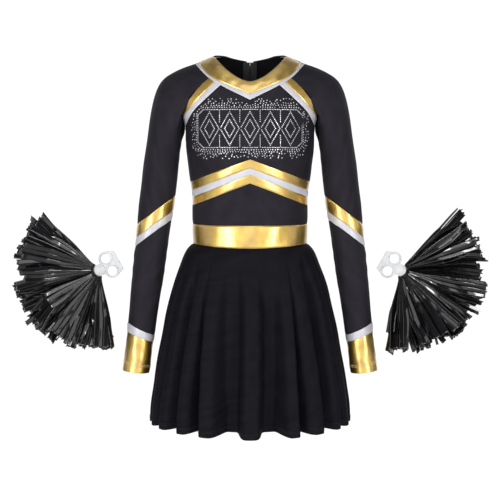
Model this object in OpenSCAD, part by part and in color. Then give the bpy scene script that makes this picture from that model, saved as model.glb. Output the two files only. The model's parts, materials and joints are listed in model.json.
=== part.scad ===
// Child's cheer uniform: a long-sleeved dress with a zip at the back, and a pair of pom-poms.
// Millimetres. +Z is up, the front faces -Y, the wearer's left is +X, and the origin lies
// between the shoulders at the height of the back neck.

/* [Cloth] */
// Thickness of a sewn knit panel
cloth_t = 1.6; // [1.2:0.1:2.2]
// Space left at each seam between two panels
seam_gap = 0.3; // [0.2:0.05:0.5]

/* [Bodice] */
// Half the width at the armpits
chest_half_w = 110; // [104:1:116]
// Half the width at the waist
waist_half_w = 96.5; // [90:0.5:100]
// How far the chest stands in front of the shoulder line
chest_front = 88; // [80:1:94]
// How far the waist stands in front of the shoulder line
waist_front = 74; // [70:1:80]
// How far the back neck lies behind the shoulder line
nape_back = 56; // [50:1:60]
// Lean of the straight back centre line, in degrees
back_lean = 4; // [3:0.5:5]
// Height of the armpits
armpit_z = -112; // [-116:1:-108]

/* [Chest stripes] */
// Height of the upper chevron's point
chevron_z = -166; // [-172:1:-160]
// Drop of a chevron from its point to the side seam
chevron_drop = 38; // [30:1:44]
// Widths of the gold, silver and lower gold stripes
chevron_widths = [14.5, 10.8, 14]; // [8:0.1:18]

/* [Waist and skirt] */
// Top edge of the waistband
waist_top_z = -275; // [-280:1:-270]
// Height of the waistband
waistband_h = 38; // [30:1:45]
// Height of the finished hem
hem_z = -620; // [-640:1:-600]
// Height of the turned hem
hem_h = 12; // [8:1:20]
// Half the width of the skirt at the hem
hem_half_w = 170; // [160:1:176]
// Half the depth of the skirt at the hem
hem_half_d = 126; // [115:1:135]
// Number of folds round the skirt
folds = 14; // [12:1:16]
// Height of a fold at the hem, as a fraction of the radius
fold_depth = 0.05; // [0.02:0.01:0.07]

/* [Sleeves] */
// Tilt of the sleeve away from vertical, in degrees
sleeve_tilt = 7.2; // [5:0.2:9]
// Sideways place of the sleeve's axis at the armpit
sleeve_x = 142.5; // [140:0.5:146]
// Length of the sleeve below the armpit, along its axis
sleeve_len = 419; // [400:1:430]
// Where the sleeve turns rigid below the shoulder
sleeve_start = 46; // [40:1:60]
// Where the forearm part of the sleeve starts
fore_start = 276; // [270:1:290]

/* [Zip] */
// Length of the zip
zip_len = 304; // [300:1:306]
// Half the gap between the back panels
zip_gap = 5.2; // [5:0.1:6]

/* [Rhinestones] */
// Radius of a stone
stone_r = 1.2; // [0.8:0.1:1.5]
// Number of diamonds in the row
diamonds = 5; // [3:1:7]

/* [Pom-poms] */
// Middle of the pom-pom's hub, from the centre of the dress
hub_x = 256; // [250:1:270]
// Height of the hub
hub_z = -354; // [-360:1:-340]
// Angle of the handle above horizontal, in degrees
handle_angle = 29; // [20:1:40]
// Radius of a finger hole
finger_r = 8.3; // [8:0.1:9]
// Thickness of the handle plate
plate_t = 5; // [4:0.5:6]
// Length of the streamers from the hub's centre
streamer_len = 158; // [130:1:160]
// Angle that the streamers fan through
fan_angle = 144; // [120:2:150]

/* [Hidden] */

black = "#17171a";
gold = "#c89b3c";
silver = "#c9c9cc";
clear = "#e8ecee";

waist_bottom_z = waist_top_z - waistband_h;
neck_half_w = 61;
shoulder_end_x = 92.5;
neck_front_z = -32;
neck_silver_z = -64.4;
chevron_low_z = chevron_z - chevron_widths[0] - chevron_widths[1] - chevron_widths[2];

// Half width of the bodice at height z; above the armpits it runs on under the sleeve
function half_w(z) = lookup(z, [
    [waist_bottom_z, waist_half_w], [waist_top_z, waist_half_w + 0.5],
    [-214, waist_half_w + 3], [-167, chest_half_w - 4.5], [armpit_z, chest_half_w],
    [-85, chest_half_w + 14], [-60, chest_half_w + 25], [-30, chest_half_w + 40], [20, 170]
]);

// Depth of the bodice's front at height z
function front_d(z) = lookup(z, [
    [waist_bottom_z, waist_front], [waist_top_z, waist_front],
    [-220, waist_front + 5], [-160, chest_front - 1], [armpit_z, chest_front]
]);

// Depth of the bodice's back at height z, on a straight line down the centre
function back_d(z) = nape_back - z * tan(back_lean);

// Height of the shoulder's ridge at a distance from the centre
function ridge_z(x) = lookup(abs(x), [
    [0, 14], [42, 12], [neck_half_w, 9], [78, 2], [116, -8], [138, -18], [150, -29]
]);

// 0 at the armpit's height and 1 on the ridge
function rise(x, z) = max(0, min(1, (z - armpit_z) / (ridge_z(x) - armpit_z)));
function smooth(t) = t <= 0 ? 0 : t >= 1 ? 1 : t * t * (3 - 2 * t);

// A point of the bodice's front or back at (x, z), set in by depth
function front_at(p, depth) = let (x = p[0], z = p[1], h = rise(x, z),
    across = sqrt(max(0, 1 - pow(x / half_w(z), 2))))
    [x * (1 - depth / half_w(z)),
     -(front_d(z) - depth) * across * sqrt(1 - pow(h, 1.5)),
     z - depth * h * h];
function back_at(p, depth) = let (x = p[0], z = p[1], h = rise(x, z),
    across = sqrt(max(0, 1 - pow(x / half_w(z), 2))), side = smooth((abs(x) - 12) / 45))
    [x * (1 - depth / half_w(z)),
     (back_d(z) - depth) * across * (1 - side * (1 - sqrt(1 - pow(h, 3)))),
     z - depth * h * h * side];

// A point of the bodice's ring at an angle, 0 at the left side and -90 in front
function ring_at(angle, z, depth) =
    [(half_w(z) - depth) * cos(angle),
     ((sin(angle) < 0 ? front_d(z) : back_d(z)) - depth) * sin(angle), z];

function mix(a, b, t) = a * (1 - t) + b * t;
function along(t, table) = [lookup(t, [for (r = table) [r[0], r[1]]]),
                            lookup(t, [for (r = table) [r[0], r[2]]])];

// A thin closed solid over a grid. where(s, t, depth) gives its points: s runs to the right
// and t runs down, as seen from outside.
module panel(where, rows, cols, ring = false, thick = cloth_t) {
    w = ring ? cols : cols + 1;
    n = (rows + 1) * w;
    at = function (i, j) i * w + j % w;
    points = [for (depth = [0, thick]) for (i = [0:rows]) for (j = [0:w - 1])
        where(j / cols, i / rows, depth)];
    outer = [for (i = [0:rows - 1], j = [0:cols - 1])
        each [[at(i, j), at(i, j + 1), at(i + 1, j + 1)],
              [at(i, j), at(i + 1, j + 1), at(i + 1, j)]]];
    inner = [for (f = outer) [n + f[0], n + f[2], n + f[1]]];
    top = [for (j = [0:cols - 1])
        each [[at(0, j), n + at(0, j), n + at(0, j + 1)],
              [at(0, j), n + at(0, j + 1), at(0, j + 1)]]];
    bottom = [for (j = [0:cols - 1])
        each [[at(rows, j), at(rows, j + 1), n + at(rows, j + 1)],
              [at(rows, j), n + at(rows, j + 1), n + at(rows, j)]]];
    left = ring ? [] : [for (i = [0:rows - 1])
        each [[at(i, 0), at(i + 1, 0), n + at(i + 1, 0)],
              [at(i, 0), n + at(i + 1, 0), n + at(i, 0)]]];
    right = ring ? [] : [for (i = [0:rows - 1])
        each [[at(i, cols), n + at(i, cols), n + at(i + 1, cols)],
              [at(i, cols), n + at(i + 1, cols), at(i + 1, cols)]]];
    polyhedron(points, concat(outer, inner, top, bottom, left, right));
}

module on_right(right) {
    mirror([right ? 1 : 0, 0, 0]) children();
}

// ---- Bodice ----

// Inner edge of the silver raglan stripe, from the neck trim to the armpit
silver_edge = [[0, 48, -43], [0.4, 76.5, -69], [0.7, 95, -87], [1, 109.6, -111]];
// Seam between the silver and the gold raglan stripes
raglan_seam = [[0, 56, -38.6], [0.5, 86, -66], [1, 112.6, -95]];
// Outer edge of the gold raglan stripe
gold_edge = [[0, 68, -31.5], [0.3, 83, -44.5], [0.62, 98.6, -60], [1, 115, -85]];
// Outer edges of the neck band and its silver trim, from the centre to the shoulder
neck_gold_edge = [[0, 0, -54], [0.45, 48, -37.7], [0.65, 66, -28.5], [1, 88, ridge_z(88)]];
neck_silver_edge = [[0, 0, neck_silver_z], [0.45, 48, -43], [0.65, 68, -31.5],
                    [1, shoulder_end_x, ridge_z(shoulder_end_x)]];
// Back edge of the sleeve head, from the armpit to the shoulder's ridge
back_edge = [[0, 109.6, armpit_z], [0.25, 110, -88], [0.45, 102, -62], [0.6, 95, -45],
             [0.72, 91.5, -30], [0.86, 91, -16], [1, shoulder_end_x, ridge_z(shoulder_end_x)]];

function chest_top(s) = [48 * s, mix(neck_silver_z, -43, s)];
function chevron_edge(s, z) = let (low = z - chevron_drop * sin(90 * s))
    [half_w(low) * sin(90 * s), low];
function chest_side(t) = t < 0.55 ? along(t / 0.55, silver_edge)
    : let (z = mix(-111, chevron_z - chevron_drop, (t - 0.55) / 0.45)) [half_w(z) - 0.1, z];
function chest_map(s, t) =
    mix(chest_top(s), chevron_edge(s, chevron_z), t)
    + s * s * (chest_side(t) - mix(chest_top(1), chevron_edge(1, chevron_z), t));
function mirrored(p, s) = [s < 0 ? -p[0] : p[0], p[1]];

module front_chest_panel() {
    color(black) panel(function (s, t, depth) let (m = 2 * s - 1)
        front_at(mirrored(chest_map(abs(m) * 0.997, mix(0.005, 0.996, t)), m), depth), 16, 26);
}

module chevron(z, width) {
    panel(function (s, t, depth) let (m = 2 * s - 1)
        front_at(mirrored(chevron_edge(abs(m), z - seam_gap / 2 - t * (width - seam_gap)), m),
            depth), 2, 26);
}

module chevron_gold_upper() {
    color(gold) chevron(chevron_z, chevron_widths[0]);
}

module chevron_silver() {
    color(silver) chevron(chevron_z - chevron_widths[0], chevron_widths[1]);
}

module chevron_gold_lower() {
    color(gold) chevron(chevron_low_z + chevron_widths[2], chevron_widths[2]);
}

module front_midriff_panel() {
    color(black) panel(function (s, t, depth) let (m = 2 * s - 1,
        top = chevron_edge(abs(m), chevron_low_z - seam_gap / 2)[1],
        z = mix(top, waist_top_z + seam_gap / 2, t))
        front_at([half_w(z) * sin(90 * m), z], depth), 6, 26);
}

// Neck and shoulder edge of a back panel, from the zip to the end of the shoulder
function back_top(s) = along(s, [[0, zip_gap, -2], [0.3, 30, 0], [0.62, 58, 6],
                                 [1, shoulder_end_x - 0.4, ridge_z(shoulder_end_x) - 0.4]]);
function back_row(s, z) = [mix(zip_gap, half_w(z) - 0.1, sin(90 * s)), z];
function back_map(s, t) = t > 0.4 ? back_row(s, mix(armpit_z, waist_top_z + 0.2, (t - 0.4) / 0.6))
    : let (u = t / 0.4) mix(back_top(s), back_row(s, armpit_z), u)
    + s * s * (along(1 - u, back_edge) - mix(back_top(1), back_row(1, armpit_z), u));

module back_panel(right) {
    color(black) on_right(right) panel(function (s, t, depth)
        back_at(back_map((1 - s) * 0.996, t), depth), 20, 14);
}

function neck_inner(s) = [neck_half_w * s,
    mix(neck_front_z, ridge_z(neck_half_w), pow(s, 1.7))];

module neck_strip(inner_edge, outer_edge) {
    panel(function (s, t, depth) let (m = (2 * s - 1) * 0.99, k = mix(0.02, 0.98, t))
        front_at(mirrored(mix(outer_edge(abs(m)), inner_edge(abs(m)), 1 - k), m), depth), 3, 28);
}

module neck_band_gold() {
    color(gold) neck_strip(function (s) neck_inner(s), function (s) along(s, neck_gold_edge));
}

module neck_trim_silver() {
    color(silver) neck_strip(function (s) along(s, neck_gold_edge),
        function (s) along(s, neck_silver_edge));
}

// Thin rolled edge along the back of the neck
module back_neck_binding() {
    color(black) for (side = [1, -1]) mirror([side < 0 ? 1 : 0, 0, 0])
        panel(function (s, t, depth) let (k = 0.62 * (1 - s) + 0.004, p = back_top(k))
            back_at([p[0], p[1] + mix(4.5, seam_gap, t)], depth - 0.2), 1, 10, thick = 2);
}

module raglan_strip(inner_edge, outer_edge) {
    panel(function (s, t, depth) let (k = mix(0.012, 0.985, t))
        front_at(mix(along(k, inner_edge), along(k, outer_edge), mix(0.03, 0.97, s)), depth),
        12, 3);
}

module raglan_silver(right) {
    color(silver) on_right(right) raglan_strip(silver_edge, raglan_seam);
}

module raglan_gold(right) {
    color(gold) on_right(right) raglan_strip(raglan_seam, gold_edge);
}

// ---- Sleeves ----

function sleeve_w(u) = lookup(u, [[0, 29.5], [120, 29.8], [206, 27.4], [288, 25.6], [419, 22.8]]);
function sleeve_d(u) = lookup(u, [[0, 35], [120, 32.5], [250, 29.5], [419, 24.5]]);

// A point of the sleeve: the angle is 0 on the outside and -90 in front
function sleeve_at(angle, u, depth) = let (w = (sleeve_w(u) - depth) * cos(angle))
    [sleeve_x + u * sin(sleeve_tilt) + w * cos(sleeve_tilt),
     (sleeve_d(u) - depth) * sin(angle),
     armpit_z - u * cos(sleeve_tilt) + w * sin(sleeve_tilt)];

// Slanted cuts across the sleeve: distance along the axis, and slant towards the outside
cut_start = [sleeve_start, 0];
cut_gold = [141.5, 28];
cut_silver = [165.5, 26];
cut_elbow = [180, 26];
cut_fore = [fore_start, 0];
cut_cuff_silver = [344.5, -8];
cut_cuff_gold = [358, -6.4];
cut_end = [sleeve_len, 0];
function cut_u(cut, angle) = cut[0] + cut[1] * cos(angle);

module sleeve_tube(from, to, rows = 3, gap = seam_gap) {
    panel(function (s, t, depth) let (angle = 360 * s,
        u = mix(cut_u(from, angle) + gap / 2, cut_u(to, angle) - gap / 2, t))
        sleeve_at(angle, u, depth), rows, 24, ring = true);
}

// Edge where the sleeve head is sewn on, from the armpit (0) to the shoulder (1)
head_front = [[0, 109.6, armpit_z], [0.2, 115.4, -85], [0.42, 99.2, -59.6], [0.56, 83.6, -44],
              [0.7, 69, -30.5], [0.86, 80, -17], [1, shoulder_end_x, ridge_z(shoulder_end_x)]];
function head_edge(angle, depth) = let (f = 1 - abs(angle) / 180)
    angle <= 0 ? front_at(along(f, head_front), depth) : back_at(along(f, back_edge), depth);
function unit(v) = v / norm(v);
function bezier(a, b, c, d, t) =
    pow(1 - t, 3) * a + 3 * pow(1 - t, 2) * t * b + 3 * (1 - t) * t * t * c + pow(t, 3) * d;

module sleeve_head(right) {
    up = [-sin(sleeve_tilt), 0, cos(sleeve_tilt)];
    color(black) on_right(right) panel(function (s, t, depth) let (
        angle = 360 * s - 180,
        top = head_edge(angle, depth),
        low = sleeve_at(angle, sleeve_start - seam_gap, depth),
        far = norm(low - top),
        out = unit(unit(low - top) + max(0, cos(angle)) * [1, 0, 0.9]),
        start = top + 0.34 * far * out,
        finish = low + (0.35 + 0.37 * max(0, cos(angle))) * far * up)
        bezier(top, start, finish, low, mix(0.01, 1, t)), 9, 32, ring = true);
}

module sleeve_upper(right) {
    color(black) on_right(right) sleeve_tube(cut_start, cut_gold, 3);
}

module sleeve_gold(right) {
    color(gold) on_right(right) sleeve_tube(cut_gold, cut_silver, 1);
}

module sleeve_silver(right) {
    color(silver) on_right(right) sleeve_tube(cut_silver, cut_elbow, 1);
}

module sleeve_elbow(right) {
    color(black) on_right(right) sleeve_tube(cut_elbow, cut_fore, 3);
}

module sleeve_lower(right) {
    color(black) on_right(right) sleeve_tube(cut_fore, cut_cuff_silver, 2);
}

module cuff_silver(right) {
    color(silver) on_right(right) sleeve_tube(cut_cuff_silver, cut_cuff_gold, 1);
}

module cuff_gold(right) {
    color(gold) on_right(right) sleeve_tube(cut_cuff_gold, cut_end, 2);
}

// ---- Waist and skirt ----

// Ring sector round the waist, open at the zip
module waist_ring(top_z, bottom_z, inset, thick) {
    gap = asin(zip_gap / waist_half_w);
    panel(function (s, t, depth)
        ring_at(mix(90 + gap, 450 - gap, s), mix(top_z, bottom_z, t), inset + depth),
        2, 44, thick = thick);
}

module waistband() {
    color(gold) waist_ring(waist_top_z - 0.2, waist_bottom_z, 0, 1.2);
}

module waist_elastic() {
    color(black) difference() {
        waist_ring(waist_top_z - 2, waist_bottom_z + 2, 1.5, 1.2);
        zip_frame() translate([-14, -8, -zip_len - 10]) cube([28, 20, zip_len]);
    }
}

function skirt_w(z) = lookup(z, [
    [hem_z, hem_half_w], [-550, 163], [-490, 152], [-428, 141], [-388, 131.5], [-357, 121],
    [-337, 114.5], [-325, 109.5], [-317, 104], [waist_bottom_z, waist_half_w]
]);
function skirt_d(z, front) = let (top = front ? waist_front : back_d(waist_bottom_z))
    mix(top, hem_half_d, (skirt_w(z) - waist_half_w) / (hem_half_w - waist_half_w));

// A point of the skirt: the folds grow from nothing at the waist
function skirt_at(angle, z, depth) = let (
    low = (waist_bottom_z - z) / (waist_bottom_z - hem_z),
    fold = 1 + fold_depth * pow(low, 0.8) * cos(folds * (angle + 90)))
    [(skirt_w(z) * fold - depth) * cos(angle),
     (skirt_d(z, sin(angle) < 0) * fold - depth) * sin(angle), z];

skirt_rows = [0, 0.012, 0.035, 0.08, 0.15, 0.26, 0.4, 0.6, 0.8, 1];

module skirt() {
    color(black) panel(function (s, t, depth)
        skirt_at(360 * s, mix(waist_bottom_z - seam_gap, hem_z + hem_h,
            skirt_rows[round(t * (len(skirt_rows) - 1))]), depth),
        len(skirt_rows) - 1, 6 * folds, ring = true);
}

module skirt_hem() {
    color(black) panel(function (s, t, depth)
        skirt_at(360 * s, mix(hem_z + hem_h - seam_gap, hem_z, t), depth),
        1, 6 * folds, ring = true);
}

// ---- Zip ----
// In the zip's own frame Z runs up the back and Y points out of the back.

tape_w = 12;
tape_t = 0.5;
tape_y = -2.5;
coil_w = 2.2;
slider_z = -9;
pull_y = 3;
pull_len = 22.5;
pull_w = 5.2;

module zip_frame() {
    translate([0, nape_back, 0]) rotate([back_lean, 0, 0]) children();
}

module zip_tape(right) {
    color(black) on_right(right) zip_frame()
        translate([0.1, tape_y - tape_t, -zip_len]) cube([tape_w, tape_t, zip_len - 3]);
}

module zip_coil(right) {
    color(black) on_right(right) zip_frame()
        translate([0.1, tape_y, -zip_len + 5]) cube([coil_w, 2, zip_len - 13]);
}

module zip_top_stops() {
    color(silver) zip_frame() for (side = [1, -1])
        translate([side * 1.5 - 1, tape_y, -7.5]) cube([2, 2, 3.5]);
}

module zip_bottom_stop() {
    color(silver) zip_frame() translate([-2.4, tape_y, -zip_len + 0.8]) cube([4.8, 2, 3.6]);
}

// Outer plate with two side flanges, and the bridge that carries the pull
module zip_slider() {
    color(silver) zip_frame() translate([0, 0, slider_z]) {
        translate([-4, 0, -6]) cube([8, 2, 11]);
        for (side = [1, -1])
            translate([side * 3.4 - 0.6, -1.8, -6]) cube([1.2, 1.9, 11]);
        for (z = [-4.4, 3])
            translate([-0.8, 1.9, z]) cube([1.6, 3, 1.2]);
        translate([-0.8, 4.3, -4.4]) cube([1.6, 1, 8.6]);
    }
}

// Cross bar under the bridge, two arms and a tab
module zip_pull() {
    color(silver) zip_frame() translate([0, pull_y, slider_z]) {
        translate([-pull_w / 2, 0, 0]) rotate([0, 90, 0])
            cylinder(h = pull_w, r = 0.8, $fn = 48);
        for (side = [1, -1])
            translate([side * 2.1 - 0.5, -0.5, -6.5]) cube([1, 1, 6.6]);
        translate([-pull_w / 2, -0.5, -pull_len]) cube([pull_w, 1, pull_len - 6.4]);
    }
}

// ---- Rhinestones ----

motif_z = -116;
motif_half_h = 29;
motif_pitch = 34;

function surface_normal(p) = let (here = front_at(p, 0))
    unit(cross(front_at(p + [1, 0], 0) - here, front_at(p + [0, 1], 0) - here));

module stone(p) {
    n = surface_normal(p);
    translate(front_at(p, 0) + 0.35 * n)
        rotate([0, acos(n[2]), atan2(n[1], n[0])])
            cylinder(h = 1, r = stone_r, $fn = 8);
}

// One diamond's outline, evenly set with stones
module diamond(x) {
    steps = 4;
    corners = [[0, motif_half_h], [motif_pitch * 0.44, 0], [0, -motif_half_h],
               [-motif_pitch * 0.44, 0], [0, motif_half_h]];
    for (side = [0:3], k = [0:steps - 1])
        stone([x, motif_z] + mix(corners[side], corners[side + 1], k / steps));
}

module rhinestone_motif() {
    color(clear) for (k = [0:diamonds - 1])
        diamond((k - (diamonds - 1) / 2) * motif_pitch);
}

// Loose stones around the row of diamonds
module rhinestone_scatter() {
    color(clear) for (row = [-1, 1], k = [-8:8])
        stone([k * 10 + (row > 0 ? 2 : -2), motif_z + row * (36 + 3 * (k % 2))]);
}

// ---- Pom-poms ----

hole_u = 17.8;
hole_v = 12;
ring_r = 12.2;
plate_u = 36.4;
plate_half_w = 17.3;
hub_r = 10;
tie_r = 15;

// The handle's own frame: X runs along the handle, and Z is the fan's axis and points forwards
module pom_frame(right) {
    on_right(right) translate([hub_x, 0, hub_z]) rotate([90, 0, 0])
        rotate([0, 0, 180 - handle_angle]) children();
}

// Where a straight edge from the plate's far corner touches the ring round a finger hole
function ring_touch(side) = let (
    across = plate_half_w - hole_v, away = norm([plate_u - hole_u, across]),
    turn = atan2(across, plate_u - hole_u) + acos(ring_r / away))
    [hole_u + ring_r * cos(turn), side * (hole_v + ring_r * sin(turn))];

module pom_handle(right) {
    color(clear) pom_frame(right) translate([0, 0, -plate_t / 2]) difference() {
        linear_extrude(height = plate_t) {
            circle(r = hub_r, $fn = 96);
            polygon([[0, -9], [hole_u, -16], ring_touch(-1), [plate_u, -plate_half_w],
                     [plate_u, plate_half_w], ring_touch(1), [hole_u, 16], [0, 9]]);
            for (side = [1, -1])
                translate([hole_u, side * hole_v]) circle(r = ring_r, $fn = 96);
        }
        for (side = [1, -1])
            translate([hole_u, side * hole_v, -1]) cylinder(h = plate_t + 2, r = finger_r, $fn = 96);
    }
}

// Low domed cap on each face of the hub
module pom_hub_caps(right) {
    color(clear) pom_frame(right) for (face = [0, 1])
        mirror([0, 0, face]) translate([0, 0, plate_t / 2 + 0.1])
            rotate_extrude($fn = 96)
                polygon([[0, 0], [hub_r - 1, 0], [hub_r - 1, 1.4], [hub_r - 3, 2.6], [0, 3.2]]);
}

// Part of a ring round the hub: the profile's X is the distance from the hub
module fan() {
    rotate([0, 0, 180 - fan_angle / 2]) rotate_extrude(angle = fan_angle, $fn = 96) children();
}

module pom_tie(right) {
    color(black) pom_frame(right) fan()
        translate([hub_r + 0.4, -plate_t]) square([tie_r - hub_r - 0.4, 2 * plate_t]);
}

// Conical sheets of streamers, each leaving the tie at its own slant
module streamers(right, slants) {
    thick = 0.5;
    reach = streamer_len - tie_r;
    color(black) pom_frame(right) fan() for (slant = slants)
        let (z0 = slant / 6, x0 = tie_r + 0.3, x1 = tie_r + reach * cos(slant),
             z1 = z0 + reach * sin(slant))
        polygon([[x0, z0 - thick / 2], [x1, z1 - thick / 2],
                 [x1, z1 + thick / 2], [x0, z0 + thick / 2]]);
}

module pom_streamers_front(right) {
    streamers(right, [16, 25]);
}

module pom_streamers_middle(right) {
    streamers(right, [-6, 6]);
}

module pom_streamers_back(right) {
    streamers(right, [-16, -25]);
}

front_chest_panel();
front_midriff_panel();
back_panel(false);  // back_panel_left
back_panel(true);  // back_panel_right
chevron_gold_upper();
chevron_silver();
chevron_gold_lower();
neck_band_gold();
neck_trim_silver();
back_neck_binding();
raglan_gold(false);  // raglan_gold_left
raglan_silver(false);  // raglan_silver_left
raglan_gold(true);  // raglan_gold_right
raglan_silver(true);  // raglan_silver_right
sleeve_head(false);  // sleeve_head_left
sleeve_upper(false);  // sleeve_upper_left
sleeve_gold(false);  // sleeve_gold_left
sleeve_silver(false);  // sleeve_silver_left
sleeve_elbow(false);  // sleeve_elbow_left
sleeve_lower(false);  // sleeve_lower_left
cuff_silver(false);  // cuff_silver_left
cuff_gold(false);  // cuff_gold_left
sleeve_head(true);  // sleeve_head_right
sleeve_upper(true);  // sleeve_upper_right
sleeve_gold(true);  // sleeve_gold_right
sleeve_silver(true);  // sleeve_silver_right
sleeve_elbow(true);  // sleeve_elbow_right
sleeve_lower(true);  // sleeve_lower_right
cuff_silver(true);  // cuff_silver_right
cuff_gold(true);  // cuff_gold_right
waistband();
waist_elastic();
skirt();
skirt_hem();
zip_tape(false);  // zip_tape_left
zip_tape(true);  // zip_tape_right
zip_coil(false);  // zip_coil_left
zip_coil(true);  // zip_coil_right
zip_top_stops();
zip_bottom_stop();
zip_slider();
zip_pull();
rhinestone_motif();
rhinestone_scatter();
pom_handle(false);  // pom_handle_left
pom_hub_caps(false);  // pom_hub_caps_left
pom_tie(false);  // pom_tie_left
pom_streamers_front(false);  // pom_streamers_front_left
pom_streamers_middle(false);  // pom_streamers_middle_left
pom_streamers_back(false);  // pom_streamers_back_left
pom_handle(true);  // pom_handle_right
pom_hub_caps(true);  // pom_hub_caps_right
pom_tie(true);  // pom_tie_right
pom_streamers_front(true);  // pom_streamers_front_right
pom_streamers_middle(true);  // pom_streamers_middle_right
pom_streamers_back(true);  // pom_streamers_back_right
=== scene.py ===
"""Looks of the cheer uniform: a knit dress with foil stripes, rhinestones and a back zip, and
two pom-poms.

Lengths are millimetres in the frame of the part, and become metres when a mesh is made. Lights
and textures are in metres. +Z is up, the front faces -Y and the wearer's left is +X.
"""
import json
import math

import bpy
import numpy as np
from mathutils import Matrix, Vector


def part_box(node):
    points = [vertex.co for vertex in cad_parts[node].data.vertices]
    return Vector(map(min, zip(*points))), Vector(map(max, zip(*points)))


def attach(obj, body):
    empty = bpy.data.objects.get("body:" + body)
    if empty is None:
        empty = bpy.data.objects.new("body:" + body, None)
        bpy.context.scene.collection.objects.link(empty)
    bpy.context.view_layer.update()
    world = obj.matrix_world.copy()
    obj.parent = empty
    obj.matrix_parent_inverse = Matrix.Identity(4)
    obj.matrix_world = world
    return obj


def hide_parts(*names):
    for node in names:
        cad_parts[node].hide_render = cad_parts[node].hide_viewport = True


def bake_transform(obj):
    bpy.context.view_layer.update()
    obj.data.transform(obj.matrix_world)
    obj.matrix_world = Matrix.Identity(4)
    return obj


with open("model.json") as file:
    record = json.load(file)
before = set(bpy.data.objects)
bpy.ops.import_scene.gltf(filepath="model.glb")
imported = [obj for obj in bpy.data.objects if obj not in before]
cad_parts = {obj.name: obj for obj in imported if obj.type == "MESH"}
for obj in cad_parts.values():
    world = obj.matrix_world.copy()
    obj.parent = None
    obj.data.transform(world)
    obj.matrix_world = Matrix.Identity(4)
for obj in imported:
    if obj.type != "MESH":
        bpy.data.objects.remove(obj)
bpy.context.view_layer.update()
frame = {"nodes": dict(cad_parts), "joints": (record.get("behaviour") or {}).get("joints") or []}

MM = 0.001
MIRROR = np.array([-1, 1, 1])
SIDES = {"left": 1, "right": -1}


def cad_mm(node):
    """Lowest and highest corners of a CAD node, in millimetres."""
    low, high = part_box(node)
    return np.array(low) / MM, np.array(high) / MM


def joint_mm(name):
    """Pivot of a hinge, in millimetres."""
    return next(np.array(j["pos_m"]) / MM for j in frame["joints"] if j["name"] == name)


# ---------------------------------------------------------------- camera

PICTURE_W = 850.0          # width seen at the middle of the dress
CAMERA_AWAY = 2300.0
CAMERA_Z = -165.0
AIM_Z = -320.0


def make_camera():
    data = bpy.data.cameras.new("camera")
    camera = bpy.data.objects.new("camera", data)
    bpy.context.collection.objects.link(camera)
    camera.location = Vector((0, -CAMERA_AWAY, CAMERA_Z)) * MM
    aim = Vector((0, 0, AIM_Z)) * MM
    camera.rotation_euler = (aim - camera.location).to_track_quat("-Z", "Y").to_euler()
    data.sensor_width = 36
    data.lens = data.sensor_width * CAMERA_AWAY / PICTURE_W
    data.clip_end = 50
    bpy.context.scene.camera = camera


make_camera()

# ---------------------------------------------------------------- small mathematics


def curve_through(points):
    """A smooth function through (x, y) points that never overshoots them."""
    xs, ys = (np.array(v, float) for v in zip(*sorted(points)))
    gaps = np.diff(xs)
    slopes = np.diff(ys) / gaps
    tangent = np.zeros(len(xs))
    tangent[0], tangent[-1] = slopes[0], slopes[-1]
    both = slopes[:-1] * slopes[1:]
    weight_a = 2 * gaps[1:] + gaps[:-1]
    weight_b = gaps[1:] + 2 * gaps[:-1]
    safe = both > 0
    inner = np.zeros(len(both))
    inner[safe] = (weight_a + weight_b)[safe] / (
        weight_a[safe] / slopes[:-1][safe] + weight_b[safe] / slopes[1:][safe])
    tangent[1:-1] = inner

    def value(x):
        x = np.clip(x, xs[0], xs[-1])
        k = np.clip(np.searchsorted(xs, x, side="right") - 1, 0, len(xs) - 2)
        t = (x - xs[k]) / gaps[k]
        return ((1 + 2 * t) * (1 - t) ** 2 * ys[k] + t * (1 - t) ** 2 * gaps[k] * tangent[k]
                + t * t * (3 - 2 * t) * ys[k + 1] + t * t * (t - 1) * gaps[k] * tangent[k + 1])
    return value


def path_through(points):
    """A smooth 2D path through (t, x, z) points."""
    x = curve_through([(p[0], p[1]) for p in points])
    z = curve_through([(p[0], p[2]) for p in points])
    return lambda t: np.stack([x(t), z(t)], -1)


def smooth(t):
    t = np.clip(t, 0, 1)
    return t * t * (3 - 2 * t)


def mix(a, b, t):
    return a * (1 - t) + b * t


def blend_points(a, b, t):
    return mix(a, b, np.asarray(t)[..., None])


def unit(v):
    return v / np.maximum(np.linalg.norm(v, axis=-1, keepdims=True), 1e-9)


RIPPLE_WAVES = 10


def ripple(points, size, seed):
    """Smooth seeded noise of about -1 to 1, with bumps of the given size."""
    rng = np.random.default_rng(seed)
    total = 0
    for _ in range(RIPPLE_WAVES):
        direction = unit(rng.normal(size=3)) * rng.uniform(0.6, 1.5) * 2 * np.pi / size
        total = total + np.sin(points @ direction + rng.uniform(0, 2 * np.pi))
    return total / math.sqrt(RIPPLE_WAVES * 1.2)


NEAR_SEAM = np.array([0, 0.35, 0.8, 1.4, 2.2, 3.2])


def steps(length, step):
    """0 to 1 in steps of a length, with closer ones near both ends for the seams."""
    seam = NEAR_SEAM[-1]
    room = max(length - seam - seam, step)
    count = max(2, int(round(room / step)) + 1)
    middle = seam + np.linspace(0, room, count)
    values = np.concatenate([NEAR_SEAM[:-1], middle, seam + room + (seam - NEAR_SEAM[:-1])[::-1]])
    return values / values[-1]


def run_along(points):
    """Distance along a chain of points, from 0."""
    return np.concatenate([[0], np.cumsum(np.linalg.norm(np.diff(points, axis=0), axis=1))])


def at_distances(spots, run, values):
    """The rows of values at distances along a chain whose points have the distances in run."""
    return np.stack([np.interp(spots, run, column) for column in values.T], -1)


# ---------------------------------------------------------------- shape of the dress

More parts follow.
